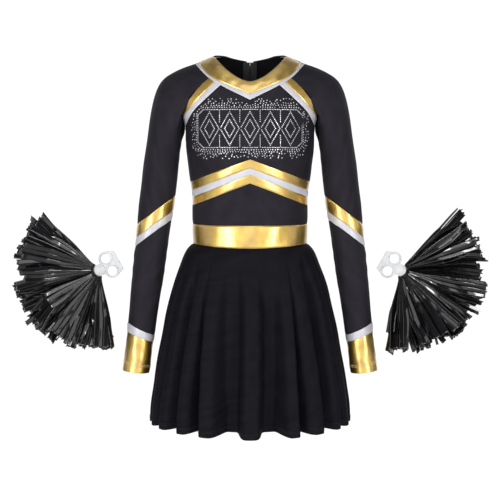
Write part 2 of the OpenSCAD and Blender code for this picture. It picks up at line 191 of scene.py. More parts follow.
ARMPIT_Z = joint_mm("shoulder_left")[2]
WAIST_TOP = cad_mm("waistband")[1][2]
WAIST_LOW = cad_mm("waistband")[0][2]
HEM_Z = cad_mm("skirt_hem")[0][2]
CHEST_W = 110.0
WAIST_W = cad_mm("waistband")[1][0]
WAIST_FRONT = -cad_mm("waistband")[0][1]
CHEST_FRONT = 88.0
NAPE = 56.0
LEAN = math.radians(4)
NECK_W = 61.0
SHOULDER_END = 92.5
ARMPIT_X = 109.8
NECK_LOW = -37.5
TRIM_LOW = -68.5
TRIM_KNEE = (48, -44)
SILVER_END = -111.5        # height of the silver raglan stripe's lower end
GOLD_END = (115, -85)

half_w = curve_through([
    (WAIST_LOW, WAIST_W), (WAIST_TOP, WAIST_W + 0.3), (WAIST_TOP + 12, 98), (-235, 98),
    (-214, 99.8), (-194, 103), (-167, 105.8), (-143, 108.3), (ARMPIT_Z, CHEST_W),
    (-85, CHEST_W + 14), (-60, CHEST_W + 25), (-30, CHEST_W + 40), (20, 170)])
front_d = curve_through([
    (WAIST_LOW, WAIST_FRONT), (WAIST_TOP, WAIST_FRONT), (-245, WAIST_FRONT + 1.5),
    (-215, WAIST_FRONT + 6), (-160, CHEST_FRONT - 1), (ARMPIT_Z, CHEST_FRONT), (20, CHEST_FRONT)])
ridge_of = curve_through([
    (0, 13), (42, 12), (52, 10.8), (NECK_W, 7.4), (78, -0.6), (SHOULDER_END, -5.6), (116, -11),
    (138, -20), (150, -31)])


def ridge_z(x):
    return ridge_of(np.abs(x))


def back_d(z):
    return NAPE - z * math.tan(LEAN)


def rise(x, z):
    return np.clip((z - ARMPIT_Z) / (ridge_z(x) - ARMPIT_Z), 0, 1)


def front_at(p):
    """The front of the bodice over a plane point (x, z)."""
    x, z = p[..., 0], p[..., 1]
    across = np.sqrt(np.clip(1 - (x / half_w(z)) ** 2, 0, None))
    return np.stack([x, -front_d(z) * across * np.sqrt(1 - rise(x, z) ** 1.5), z], -1)


def back_at(p):
    """The back of the bodice over a plane point (x, z); its centre line is straight."""
    x, z = p[..., 0], p[..., 1]
    across = np.sqrt(np.clip(1 - (x / half_w(z)) ** 2, 0, None))
    side = smooth((np.abs(x) - 12) / 45)
    drop = 1 - np.sqrt(1 - np.minimum(rise(x, z) ** 3, 1))
    return np.stack([x, back_d(z) * across * (1 - side * drop), z], -1)


def plane(x, z):
    return np.stack(np.broadcast_arrays(np.asarray(x, float), np.asarray(z, float)), -1)


# Seam lines on the front, for the wearer's left side
silver_edge = path_through([(0, 48, -43), (0.4, 76.5, -69), (0.7, 95, -87.5),
                            (1, ARMPIT_X, SILVER_END)])
raglan_seam = path_through([(0, 57, -37.6), (0.5, 86, -66), (1, 112.8, -96)])
gold_edge = path_through([(0, 68, -31.5), (0.3, 83, -44.5), (0.62, 98.6, -60), (1, *GOLD_END)])
band_seam = path_through([(0, 0, -58.5), (0.45, 48, -38.5), (0.65, 66, -28.3),
                          (1, 88, ridge_z(88))])
trim_edge = path_through([(0, 0, TRIM_LOW), (0.45, *TRIM_KNEE), (0.65, 68, -31.5),
                          (1, SHOULDER_END, ridge_z(SHOULDER_END))])
back_edge = path_through([(0, ARMPIT_X, ARMPIT_Z), (0.2, 109, -92), (0.45, 99, -62),
                          (0.7, 84, -30), (0.9, 74, -11), (1, 66, 4.8)])
back_neck = path_through([(0, 5.6, 1), (0.45, 30, 6), (0.68, 42, 9.2), (0.86, 52, 9.8),
                          (1, 60.5, 7.4)])


def neck_inner(s):
    return plane(NECK_W * s, mix(NECK_LOW, ridge_z(NECK_W), np.power(s, 1.7)))


CHEVRON_Z = -166.0
CHEVRON_DROP = 38.0
CHEVRON_WIDTHS = {"chevron_gold_upper": 14.5, "chevron_silver": 10.8, "chevron_gold_lower": 14.0}
CHEVRON_LOW = CHEVRON_Z - sum(CHEVRON_WIDTHS.values())


def chevron_line(s, z):
    low = z - CHEVRON_DROP * np.sin(np.pi / 2 * s)
    return plane(half_w(low) * np.sin(np.pi / 2 * s), low)


def chest_top(s):
    return trim_edge(0.45 * s)


STRIPE_SHARE = 0.55        # share of the chest's side that lies along the raglan stripe


def chest_side(t):
    upper = silver_edge(np.clip(t / STRIPE_SHARE, 0, 1))
    below = np.clip((t - STRIPE_SHARE) / (1 - STRIPE_SHARE), 0, 1)
    z = mix(SILVER_END, CHEVRON_Z - CHEVRON_DROP, below)
    return np.where((t < STRIPE_SHARE)[..., None], upper, plane(half_w(z), z))


def chest_at(s, t):
    straight = blend_points(chest_top(s), chevron_line(s, CHEVRON_Z), t)
    one = np.ones_like(s)
    pull = chest_side(t) - blend_points(chest_top(one), chevron_line(one, CHEVRON_Z), t)
    return straight + (s * s)[..., None] * pull


def both_halves(half):
    """A front surface over s from 0 on the wearer's right to 1 on the left, from its left half."""
    def where(s, t):
        m = 2 * s - 1
        p = half(np.abs(m), t)
        return front_at(plane(np.where(m < 0, -p[..., 0], p[..., 0]), p[..., 1]))
    return where


def midriff_half(s, t):
    z = mix(chevron_line(s, CHEVRON_LOW)[..., 1], WAIST_TOP + 0 * s, t)
    return plane(half_w(z) * np.sin(np.pi / 2 * s), z)


# ---------------------------------------------------------------- shape of a sleeve

TILT = math.radians(7.2)
SLEEVE_X = 142.5
SLEEVE_LEN = 419.0
sleeve_w = curve_through([(0, 29.8), (30, 29.4), (83, 29.8), (124, 30.2), (164, 28.6), (206, 27.6),
                          (247, 27), (288, 25.5), (330, 24.2), (370, 23.7), (SLEEVE_LEN, 22.8)])
sleeve_d = curve_through([(0, 35), (120, 32.5), (250, 29.5), (SLEEVE_LEN, 24.5)])

# Slanted cuts: distance along the axis and slant towards the outside
CUTS = {"gold": (141.5, 28), "silver": (165.5, 26), "elbow": (180, 26),
        "cuff_silver": (344.5, -8), "cuff_gold": (358, -6.4), "end": (SLEEVE_LEN, 0.5)}


def cut_u(name, angle):
    middle, slant = CUTS[name]
    return middle + slant * np.cos(angle)


def sleeve_at(angle, u):
    """A point of the left sleeve: the angle is 0 on the outside and -pi/2 in front."""
    w = sleeve_w(u) * np.cos(angle)
    return np.stack([SLEEVE_X + u * math.sin(TILT) + w * math.cos(TILT),
                     sleeve_d(u) * np.sin(angle),
                     ARMPIT_Z - u * math.cos(TILT) + w * math.sin(TILT)], -1)


# Shares of half a turn: to the end of the underarm, to the end of the stripe, and behind to
# the neck. BAND_SHARE is where the stripe meets the neck's trim, along the trim.
UNDER_SHARE, STRIPE_END, BEHIND_SHARE = 0.2, 0.7, 0.86
BAND_SHARE = 0.65
under_arm = path_through([(0, ARMPIT_X, ARMPIT_Z), (0.5, 113.6, -97), (1, *GOLD_END)])


def head_edge(angle):
    """Where the sleeve head is sewn on, at -pi and pi the armpit and at 0 the shoulder."""
    f = 1 - np.abs(angle) / np.pi
    stripe = gold_edge(np.clip((STRIPE_END - f) / (STRIPE_END - UNDER_SHARE), 0, 1))
    neck = trim_edge(mix(BAND_SHARE, 1, np.clip((f - STRIPE_END) / (1 - STRIPE_END), 0, 1)))
    front = np.where((f < UNDER_SHARE)[..., None], under_arm(f / UNDER_SHARE),
                     np.where((f < STRIPE_END)[..., None], stripe, neck))
    # behind, the edge runs to the neck and then forward along the band's end
    raglan = back_edge(np.clip(f / BEHIND_SHARE, 0, 1))
    end = blend_points(back_edge(np.ones_like(f)), trim_edge(np.ones_like(f)),
                       smooth((f - BEHIND_SHARE) / (1 - BEHIND_SHARE)))
    back = np.where((f < BEHIND_SHARE)[..., None], raglan, end)
    return np.where((angle <= 0)[..., None], front_at(front), back_at(back))


HEAD_U = 46.0              # distance along the axis at which the head becomes a plain tube
HEAD_SHARE = 0.5


def sleeve_top_at(s, t):
    """The sleeve from its raglan seam to the gold stripe, as one surface."""
    angle = 2 * np.pi * s - np.pi
    top = head_edge(angle)
    low = sleeve_at(angle, HEAD_U + 0 * angle)
    up = np.array([-math.sin(TILT), 0, math.cos(TILT)])
    far = np.linalg.norm(low - top, axis=-1, keepdims=True)
    lift = np.maximum(0, np.cos(angle))[..., None]
    start = top + 0.4 * far * unit(unit(low - top) + lift * np.array([1, 0, 0.3]))
    finish = low + (0.35 + 0.43 * lift) * far * up
    a = np.clip(t / HEAD_SHARE, 0, 1)[..., None]
    head = ((1 - a) ** 3 * top + 3 * (1 - a) ** 2 * a * start + 3 * (1 - a) * a * a * finish
            + a ** 3 * low)
    b = np.clip((t - HEAD_SHARE) / (1 - HEAD_SHARE), 0, 1)
    tube = sleeve_at(angle, mix(HEAD_U, cut_u("gold", angle), b))
    return np.where((t < HEAD_SHARE)[..., None], head, tube)


def sleeve_between(first, last):
    def where(s, t):
        angle = 2 * np.pi * s - np.pi
        return sleeve_at(angle, mix(cut_u(first, angle), cut_u(last, angle), t))
    return where


# ---------------------------------------------------------------- meshes


def new_object(name, points, faces, materials, indices=None, smooth_shade=True, uv=None):
    """A mesh object from points in millimetres."""
    mesh = bpy.data.meshes.new(name)
    mesh.from_pydata((np.asarray(points) * MM).tolist(), [], [list(map(int, f)) for f in faces])
    for material in materials:
        mesh.materials.append(material)
    if indices is not None:
        mesh.polygons.foreach_set("material_index", np.asarray(indices, np.int32))
    mesh.polygons.foreach_set("use_smooth", np.full(len(mesh.polygons), smooth_shade))
    if uv is not None:
        layer = mesh.uv_layers.new(name="cloth")
        loops = np.zeros(len(mesh.loops), np.int32)
        mesh.loops.foreach_get("vertex_index", loops)
        layer.data.foreach_set("uv", np.asarray(uv)[loops].astype(np.float32).ravel())
    mesh.update()
    obj = bpy.data.objects.new(name, mesh)
    bpy.context.collection.objects.link(obj)
    return obj


def grid_normals(points, ring):
    """Outward normals of a grid whose columns run right and rows run down."""
    if ring:
        wide = np.concatenate([points[:, -2:-1], points, points[:, 1:2]], 1)
        right = (wide[:, 2:] - wide[:, :-2])
    else:
        right = np.gradient(points, axis=1)
    down = np.gradient(points, axis=0)
    return unit(np.cross(down, right))


def arc(points, axis):
    """Distance along the grid's lines."""
    run = np.linalg.norm(np.diff(points, axis=axis), axis=-1)
    pad = [(0, 0), (0, 0)]
    pad[axis] = (1, 0)
    return np.pad(np.cumsum(run, axis=axis), pad)


SEAM_DEPTH = 0.8
SEAM_WIDTH = 1.3


def panel(name, where, across, down, face, lining=None, ring=False, thick=1.3, seams="tblr",
          flip=False, shape=None, seam_depth=SEAM_DEPTH):
    """A sewn panel of cloth with thickness. Its outside sinks towards each seam that is named:
    top, bottom, left and right. shape moves the grid's points before the seams are sunk."""
    s, t = np.meshgrid(across, down)
    points = where(s, t)
    if ring:
        points[:, -1] = points[:, 0]
    along, fall = arc(points, 1), arc(points, 0)
    if shape is not None:
        points = points + grid_normals(points, ring) * shape(points, s, t)[..., None]
    normals = grid_normals(points, ring)
    if ring:
        normals[:, -1] = normals[:, 0]
    near = {"t": fall, "b": fall[-1:] - fall, "l": along, "r": along[:, -1:] - along}
    sink = sum(np.exp(-(near[k] / SEAM_WIDTH) ** 2) for k in seams) if seams else 0 * fall
    outer = points - normals * (seam_depth * np.minimum(sink, 1.2))[..., None]
    inner = points - normals * thick
    if ring:
        outer, inner, along, fall = (v[:, :-1] for v in (outer, inner, along, fall))
    points = np.concatenate([outer.reshape(-1, 3), inner.reshape(-1, 3)])
    uv = np.stack([along, -fall], -1).reshape(-1, 2) * MM
    n = along.size
    grid = np.arange(n).reshape(along.shape)
    if ring:
        grid = np.concatenate([grid, grid[:, :1]], 1)
    quads = np.stack([grid[:-1, :-1], grid[1:, :-1], grid[1:, 1:], grid[:-1, 1:]], -1)
    quads = quads.reshape(-1, 4)
    rims = [grid[0], grid[-1, ::-1]] + ([] if ring else [grid[::-1, 0], grid[:, -1]])
    edges = [np.stack([rim[:-1], rim[1:], rim[1:] + n, rim[:-1] + n], -1) for rim in rims]
    faces = np.concatenate([quads, quads[:, ::-1] + n, *edges])
    if flip:
        points, faces = points * MIRROR, faces[:, ::-1]
    kinds = (np.arange(len(faces)) >= len(quads)).astype(int)
    return new_object(name, points, faces, [face, lining or LINING], kinds,
                      uv=np.concatenate([uv, uv]))


def label(obj, nodes):
    """Hides the CAD nodes that the piece stands for."""
    for node in nodes:
        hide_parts(node)
    return obj


def put(obj, body, slot, *nodes):
    """The piece rides on a body."""
    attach(obj, body)
    return label(obj, nodes)


def bend(obj, body_a, body_b, start, end, slot, *nodes):
    """Bakes the piece's placement into its mesh and hides the CAD nodes that it stands for; the two
    bodies, and start and end in millimetres, are not used.
    """
    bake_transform(obj)
    return label(obj, nodes)


def sew(name, where, across, down, face, nodes=None, **options):
    """A panel of the dress, which stands for the CAD node of its name unless nodes says other."""
    piece = panel(name, where, across, down, face, **options)
    return put(piece, "dress", SLOTS[face], *([name] if nodes is None else nodes))


def tube_faces(rings, sides, closed=False, first=0):
    """Faces of rings of points, from the point numbered first. The last ring meets the first
    one, or both ends are capped."""
    faces = []
    for i in range(rings if closed else rings - 1):
        a, b = first + i * sides, first + (i + 1) % rings * sides
        faces += [(a + j, a + (j + 1) % sides, b + (j + 1) % sides, b + j) for j in range(sides)]
    if not closed:
        last = first + (rings - 1) * sides
        faces += [tuple(range(first, first + sides))[::-1], tuple(range(last, last + sides))]
    return faces


# ---------------------------------------------------------------- materials


def new_material(name):
    material = bpy.data.materials.new(name)
    material.use_nodes = True
    tree = material.node_tree
    return material, tree, tree.nodes["Principled BSDF"]


def fill(tree, node, inputs):
    """Sets inputs of a node, each to a value or to another node's output."""
    for key, value in inputs.items():
        if isinstance(value, bpy.types.NodeSocket):
            tree.links.new(value, node.inputs[key])
        else:
            node.inputs[key].default_value = value


def add(tree, kind, output, inputs, **settings):
    """Adds a node and returns one of its outputs."""
    node = tree.nodes.new(kind)
    for key, value in settings.items():
        setattr(node, key, value)
    fill(tree, node, inputs)
    return node.outputs[output]


def ramp(tree, source, low, high, start=0.0, end=1.0):
    """A ramp between two colours."""
    node = tree.nodes.new("ShaderNodeValToRGB")
    stops = node.color_ramp.elements
    stops[0].position, stops[1].position = start, end
    stops[0].color, stops[1].color = (*low, 1), (*high, 1)
    fill(tree, node, {"Fac": source})
    return node.outputs["Color"]


def spread(tree, source, low, high):
    """Maps 0..1 to low..high."""
    return add(tree, "ShaderNodeMapRange", "Result",
               {"Value": source, "To Min": low, "To Max": high})


def noise(tree, coordinates, scale, detail=3.0, rough=0.55):
    return add(tree, "ShaderNodeTexNoise", "Fac", {
        "Vector": coordinates, "Scale": scale, "Detail": detail, "Roughness": rough})


def maths(tree, operation, a, b):
    return add(tree, "ShaderNodeMath", "Value", {0: a, 1: b}, operation=operation)


def bump(tree, height, strength, distance, **more):
    return add(tree, "ShaderNodeBump", "Normal",
               {"Height": height, "Strength": strength, "Distance": distance, **more})


def cloth_uv(tree):
    return add(tree, "ShaderNodeUVMap", "UV", {}, uv_map="cloth")


def object_space(tree):
    return add(tree, "ShaderNodeTexCoord", "Object", {})


def stretched(tree, coordinates, scale):
    return add(tree, "ShaderNodeMapping", "Vector", {"Vector": coordinates, "Scale": scale})


def wave(tree, coordinates, scale, direction, distortion):
    return add(tree, "ShaderNodeTexWave", "Fac", {
        "Vector": coordinates, "Scale": scale, "Distortion": distortion},
        bands_direction=direction)


def knit_material(name, dark, light, roughness, shine):
    """Fine stretch knit: ribs one way, loops the other, and soft mottling."""
    material, tree, shader = new_material(name)
    uv = cloth_uv(tree)
    ribs = wave(tree, uv, scale=450.0, direction="X", distortion=0.6)
    loops = wave(tree, uv, scale=330.0, direction="Y", distortion=0.6)
    weave = maths(tree, "MULTIPLY", ribs, loops)
    mottle = noise(tree, uv, scale=34.0, detail=4.0)
    tone = maths(tree, "MULTIPLY", maths(tree, "ADD", weave, 0.6), mottle)
    soft = bump(tree, noise(tree, uv, scale=60.0, detail=2.0), strength=0.12, distance=0.0006)
    fill(tree, shader, {
        "Base Color": ramp(tree, tone, dark, light, start=0.15, end=0.85),
        "Roughness": spread(tree, mottle, roughness - 0.06, roughness + 0.06),
        "Specular IOR Level": shine,
        "Normal": bump(tree, weave, strength=0.3, distance=0.0001, Normal=soft)})
    return material


def foil_material(name, dark, light, roughness, metallic, crinkle, gloss=0.0):
    """Foil bonded to knit: fine cross-hatched cracks, soft crinkles, and a clear top layer."""
    material, tree, shader = new_material(name)
    uv = cloth_uv(tree)
    grain = noise(tree, stretched(tree, uv, (1.0, 3.0, 1.0)), scale=700.0, rough=0.7)
    patches = noise(tree, uv, scale=42.0)
    fibres = noise(tree, stretched(tree, uv, (1.0, 0.12, 1.0)), scale=260.0)
    crinkles = noise(tree, stretched(tree, uv, (1.0, 0.35, 1.0)), scale=75.0)
    worn = maths(tree, "ADD", maths(tree, "MULTIPLY", grain, 0.25),
                 maths(tree, "MULTIPLY", patches, 0.6))
    folds = bump(tree, crinkles, strength=crinkle, distance=0.0016)
    fill(tree, shader, {
        "Base Color": ramp(tree, worn, dark, light, start=0.2, end=0.62),
        "Metallic": metallic,
        "Roughness": spread(tree, fibres, roughness - 0.07, roughness + 0.09),
        "Coat Weight": gloss, "Coat IOR": 1.95, "Coat Roughness": 0.26,
        "Normal": bump(tree, grain, strength=0.22, distance=0.00015, Normal=folds)})
    return material


def film_material():
    """Glossy black film with small creases."""
    material, tree, shader = new_material("pom_film")
    uv = cloth_uv(tree)
    creases = noise(tree, stretched(tree, uv, (1.0, 0.3, 1.0)), scale=120.0, detail=4.0, rough=0.6)
    patches = noise(tree, uv, scale=30.0, detail=2.0)
    fill(tree, shader, {
        "Base Color": ramp(tree, patches, (0.002, 0.002, 0.0025), (0.008, 0.008, 0.009), 0.3, 0.75),
        "IOR": 1.45,
        "Roughness": spread(tree, creases, 0.04, 0.12),
        "Coat Weight": 0.2, "Coat Roughness": 0.04,
        "Normal": bump(tree, creases, strength=0.045, distance=0.001)})
    return material


def plastic_material():
    """Milky translucent plastic of the handles."""
    material, tree, shader = new_material("pom_clear")
    where = object_space(tree)
    cloud = noise(tree, where, scale=55.0)
    fill(tree, shader, {
        "Base Color": ramp(tree, cloud, (0.58, 0.59, 0.6), (0.76, 0.77, 0.78), 0.3, 0.7),
        "Roughness": spread(tree, cloud, 0.22, 0.36),
        "Transmission Weight": 0.06,
        "Subsurface Weight": 0.25, "Subsurface Radius": (0.004, 0.004, 0.004),
        "Normal": bump(tree, noise(tree, where, scale=220.0), strength=0.08, distance=0.0004)})
    return material


def metal_material():
    """Gunmetal of the zip's slider, pull and stops, brighter where it rubs."""
    material, tree, shader = new_material("zip_metal")
    scratch = noise(tree, stretched(tree, object_space(tree), (1.0, 1.0, 0.15)), scale=900.0)
    fill(tree, shader, {
        "Base Color": ramp(tree, scratch, (0.16, 0.16, 0.17), (0.34, 0.34, 0.36), 0.3, 0.7),
        "Metallic": 1.0,
        "Roughness": spread(tree, scratch, 0.22, 0.42),
        "Normal": bump(tree, scratch, strength=0.1, distance=0.0001)})
    return material


def nylon_material():
    """Woven tape and moulded coil of the zip."""
    material, tree, shader = new_material("zip_nylon")
    where = object_space(tree)
    twill = wave(tree, where, scale=420.0, direction="DIAGONAL", distortion=0.3)
    fill(tree, shader, {
        "Base Color": ramp(tree, twill, (0.003, 0.003, 0.0035), (0.01, 0.01, 0.012)),
        "Roughness": spread(tree, noise(tree, where, scale=200.0), 0.55, 0.7),
        "Normal": bump(tree, twill, strength=0.25, distance=0.0002)})
    return material


def stone_material():
    """Foil-backed cut glass."""
    material, tree, shader = new_material("rhinestone")
    sparkle = noise(tree, object_space(tree), scale=300.0, detail=1.0)
    fill(tree, shader, {
        "Base Color": ramp(tree, sparkle, (0.78, 0.8, 0.86), (1.0, 1.0, 1.0), 0.35, 0.65),
        "Metallic": 0.5,
        "Roughness": spread(tree, sparkle, 0.18, 0.34)})
    return material


def thread_material(name, dark, light):
    material, tree, shader = new_material(name)
    twist = wave(tree, object_space(tree), scale=900.0, direction="DIAGONAL", distortion=1.0)
    fill(tree, shader, {"Base Color": ramp(tree, twist, dark, light),
                        "Roughness": spread(tree, twist, 0.45, 0.65)})
    return material


KNIT = knit_material("knit_black", (0.013, 0.0118, 0.0155), (0.03, 0.0275, 0.0345),
                     roughness=0.6, shine=0.06)
# The skirt's knit is the black knit made darker: painted shade for the dimmer light that falls on
# the skirt, in the same slot as the bodice knit.
SHADED_SKIRT_KNIT = knit_material("knit_skirt_painted_shade", (0.0056, 0.0052, 0.0072), (0.0142, 0.0131, 0.0172),
                           roughness=0.6, shine=0.03)
LINING = knit_material("knit_lining", (0.006, 0.006, 0.0075), (0.013, 0.013, 0.016),
                       roughness=0.8, shine=0.03)
GOLD = foil_material("foil_gold", (0.54, 0.27, 0.045), (0.88, 0.64, 0.115),
                     roughness=0.4, metallic=1.0, crinkle=0.3, gloss=1.0)
SILVER = foil_material("trim_silver", (0.5, 0.49, 0.53), (0.68, 0.67, 0.71),
                       roughness=0.5, metallic=0.2, crinkle=0.12)
FILM = film_material()
PLASTIC = plastic_material()
METAL = metal_material()
NYLON = nylon_material()
STONE = stone_material()
THREAD_BLACK = thread_material("thread_black", (0.006, 0.006, 0.007), (0.03, 0.03, 0.034))
THREAD_GOLD = thread_material("thread_gold", (0.35, 0.22, 0.06), (0.75, 0.55, 0.22))
THREAD_PALE = thread_material("thread_pale", (0.7, 0.5, 0.2), (1.0, 0.85, 0.5))

SLOTS = {KNIT: "knit_black", SHADED_SKIRT_KNIT: "knit_black", LINING: "knit_black",
         THREAD_BLACK: "knit_black", GOLD: "foil_gold", THREAD_GOLD: "foil_gold",
         THREAD_PALE: "foil_gold", SILVER: "trim_silver", NYLON: "zip_nylon"}


# ---------------------------------------------------------------- bodice


def pulls(points, s, t):
    """Soft strain in stretched knit: faint, wide, and a little stronger under the arms."""
    near_arm = np.exp(-((points[..., 2] - ARMPIT_Z) / 45) ** 2) * smooth(
        (np.abs(points[..., 0]) - 45) / 60)
    return 0.25 * ripple(points, 60, 3) + 0.9 * near_arm * ripple(points, 28, 5)


def stripe_between(inner, outer):
    """The front surface between two seam lines."""
    return lambda s, t: front_at(blend_points(inner(t), outer(t), s))


neck_band = both_halves(lambda s, t: blend_points(neck_inner(s), band_seam(s), t))
neck_trim = both_halves(lambda s, t: blend_points(band_seam(s), trim_edge(s), t))
raglan_silver = stripe_between(silver_edge, raglan_seam)
raglan_gold = stripe_between(raglan_seam, gold_edge)
KNIT_STEP = 3.2


def make_bodice():
    across = steps(300, KNIT_STEP)
    sew("front_chest_panel", both_halves(chest_at), across, steps(120, KNIT_STEP), KNIT,
        shape=pulls)
    sew("front_midriff_panel", both_halves(midriff_half), across, steps(66, KNIT_STEP), KNIT,
        shape=pulls)
    z = CHEVRON_Z
    for node, width in CHEVRON_WIDTHS.items():
        where = both_halves(lambda s, t, z=z, width=width: chevron_line(s, z - t * width))
        sew(node, where, across, steps(width, 2.4), GOLD if "gold" in node else SILVER,
            seam_depth=0.5, shape=lambda p, s, t: 0.3 * ripple(p, 30, seed=9))
        z -= width
    round_neck = steps(330, 2.6)
    sew("neck_band_gold", neck_band, round_neck, steps(22, 2.2), GOLD, seam_depth=0.5,
        shape=lambda p, s, t: 1.1 * np.sin(np.pi * t) + 0.3 * ripple(p, 24, seed=11))
    sew("neck_trim_silver", neck_trim, round_neck, steps(8, 1.6), SILVER, seam_depth=0.4)
    for side, sign in SIDES.items():
        sew("raglan_silver_" + side, raglan_silver, steps(10, 1.8), steps(90, 2.6), SILVER,
            seam_depth=0.4, flip=sign < 0)
        sew("raglan_gold_" + side, raglan_gold, steps(14, 2.2), steps(80, 2.6), GOLD,
            seam_depth=0.5, flip=sign < 0)
    make_back()


BACK_GAP = 5.6


BACK_SPLIT = 0.42          # share of the back panel that lies above the armpit


def back_half(s, t):
    """The left back panel over (s, t), with s from the side seam to the zip."""
    m = 1 - s

    def level(share, z):
        return plane(mix(BACK_GAP, half_w(z + 0 * share), np.sin(np.pi / 2 * share)), z)

    u = np.clip(t / BACK_SPLIT, 0, 1)
    one = np.ones_like(m)
    straight = blend_points(back_neck(m), level(m, ARMPIT_Z), u)
    pull = back_edge(1 - u) - blend_points(back_neck(one), level(one, ARMPIT_Z), u)
    upper = straight + (m * m)[..., None] * pull
    lower = level(m, mix(ARMPIT_Z, WAIST_TOP, np.clip((t - BACK_SPLIT) / (1 - BACK_SPLIT), 0, 1)))
    return back_at(np.where((t < BACK_SPLIT)[..., None], upper, lower))


def rolled_neck(s, t):
    """Narrow rolled binding standing on the edge of the back neck."""
    base = back_half(s, np.zeros_like(s))
    turn = np.pi * (1.35 * t - 0.2)
    back = unit(np.stack([0 * s, base[..., 1], 0 * s], -1) + np.array([0, 1e-6, 0]))
    return (base + back * (1.6 * np.cos(turn))[..., None] - back * 0.9
            + np.array([0, 0, 1.0]) * (1.7 * np.sin(turn) + 0.3)[..., None])


def make_back():
    for side, sign in SIDES.items():
        sew("back_panel_" + side, back_half, steps(170, KNIT_STEP), steps(290, KNIT_STEP), KNIT,
            flip=sign < 0, shape=pulls, seam_depth=0.9)
    for side, sign in SIDES.items():
        sew("back_neck_binding_" + side, rolled_neck, steps(80, 2.0), np.linspace(1, 0, 9), KNIT,
            nodes=["back_neck_binding"] if sign > 0 else [], thick=0.5, seams="", flip=sign < 0)


# ---------------------------------------------------------------- sleeves


def sleeve_creases(points, s, t):
    """Shallow drag lines of a hanging sleeve, more of them at the armpit and the elbow."""
    z = points[..., 2]
    elbow = np.exp(-((z - joint_mm("elbow_left")[2] - 10) / 70) ** 2)
    arm = np.exp(-((z - ARMPIT_Z - 10) / 55) ** 2) * smooth(0.6 - np.cos(2 * np.pi * s - np.pi))
    slant = points * np.array([1.0, 1.0, 1.6])
    return 0.3 * ripple(points, 70, 21) + (0.5 * elbow + 0.9 * arm) * ripple(slant, 34, 23)


ELBOW_BLEND = 55.0
SHOULDER_BLEND = ((110.0, 0), (162.5, -91))     # outwards, and from the armpit's height
# Start of the name, first and last cut, cloth, length, depth of the seams and which they are
SLEEVE_PIECES = (
    ("sleeve_gold_", "gold", "silver", GOLD, 20, 0.5, "tb"),
    ("sleeve_silver_", "silver", "elbow", SILVER, 13, 0.4, "tb"),
    ("sleeve_lower_", "elbow", "cuff_silver", KNIT, 160, 0.8, "tb"),
    ("cuff_silver_", "cuff_silver", "cuff_gold", SILVER, 13, 0.4, "tb"),
    ("cuff_gold_", "cuff_gold", "end", GOLD, 60, 0.5, "t"))


def make_sleeve(side, sign):
    body_up, body_low = "upper_sleeve_" + side, "lower_sleeve_" + side
    shoulder = [np.array([sign * x, 0, ARMPIT_Z + z]) for x, z in SHOULDER_BLEND]
    pivot, reach = joint_mm("elbow_" + side), np.array([0, 0, ELBOW_BLEND])
    common = {"ring": True, "flip": sign < 0}
    across = np.linspace(0, 1, 97)
    top = panel("sleeve_upper_" + side, sleeve_top_at, across, steps(270, 3.0), KNIT,
                shape=sleeve_creases, seams="tb", **common)
    bend(top, "dress", body_up, *shoulder, "knit_black", "sleeve_upper_" + side,
         "sleeve_head_" + side)
    for start, first, last, face, length, depth, seams in SLEEVE_PIECES:
        step, shape = (3.0, sleeve_creases) if face is KNIT else (2.2, stripe_creases)
        piece = panel(start + side, sleeve_between(first, last), across, steps(length, step),
                      face, shape=shape, seams=seams, seam_depth=depth, **common)
        nodes = [start + side] + (["sleeve_elbow_" + side] if start == "sleeve_lower_" else [])
        if "cuff" in start:
            put(piece, body_low, SLOTS[face], *nodes)
        else:
            bend(piece, body_up, body_low, pivot + reach, pivot - reach, SLOTS[face], *nodes)


def stripe_creases(points, s, t):
    return 0.55 * ripple(points * np.array([1, 1, 1.3]), 26, 31)


# ---------------------------------------------------------------- waist and skirt


SIDE_RISE = 4.7            # how much higher the waist seam sits at the sides


def waist_ring(top_z, bottom_z, proud):
    gap = math.asin(BACK_GAP / WAIST_W)

    def where(s, t):
        angle = mix(np.pi / 2 + gap, 2.5 * np.pi - gap, s)
        z = mix(top_z, bottom_z + SIDE_RISE * np.cos(angle) ** 2, t)
        depth = np.where(np.sin(angle) < 0, front_d(z), back_d(z)) + proud
        return np.stack([(half_w(z) + proud) * np.cos(angle), depth * np.sin(angle), z], -1)
    return where


BAND_PROUD = 0.2
ELASTIC_RIBS = 9


def make_waist():
    sew("waistband", waist_ring(WAIST_TOP, WAIST_LOW, BAND_PROUD), steps(560, 3.0),
        steps(38, 2.4), GOLD, seam_depth=0.7,
        shape=lambda p, s, t: 0.6 * np.sin(np.pi * t) + 0.3 * ripple(p, 45, seed=41))
    sew("waist_elastic", waist_ring(WAIST_TOP - 2, WAIST_LOW + 2, -1.6), steps(560, 5.0),
        np.linspace(0, 1, 40), LINING, seams="", thick=0.9,
        shape=lambda p, s, t: 0.25 * np.sin(2 * np.pi * ELASTIC_RIBS * t))


skirt_w = curve_through([
    (HEM_Z, 170), (-592, 168.5), (-551, 163.5), (-510, 157), (-469, 149.5), (-428, 141.5),
    (-388, 131.5), (-367, 124.8), (-347, 117.5), (-337, 114), (-326, 109), (-318, 103),
    (WAIST_LOW, WAIST_W)])
HEM_DEPTH = 126.0
# Ridges of the folds, in degrees round from the front centre on each side
FOLD_RIDGES = (0, 27, 41.5, 60, 75, 90, 106, 124, 145, 166)
FOLD_HALF = 6.2            # half the width of a ridge, in degrees
FOLD_DEPTH = 41.0
FOLD_START = 0.3           # share of the skirt's height over which the folds begin
HEM_RISE = (-2.0, 8.0)     # at the front, and added at the sides
VALLEY_RISE = 5.0


def skirt_radii(z, sine):
    grown = (skirt_w(z) - WAIST_W) / (skirt_w(HEM_Z) - WAIST_W)
    top = np.where(sine < 0, WAIST_FRONT, back_d(WAIST_LOW))
    return skirt_w(z), mix(top, HEM_DEPTH, grown)


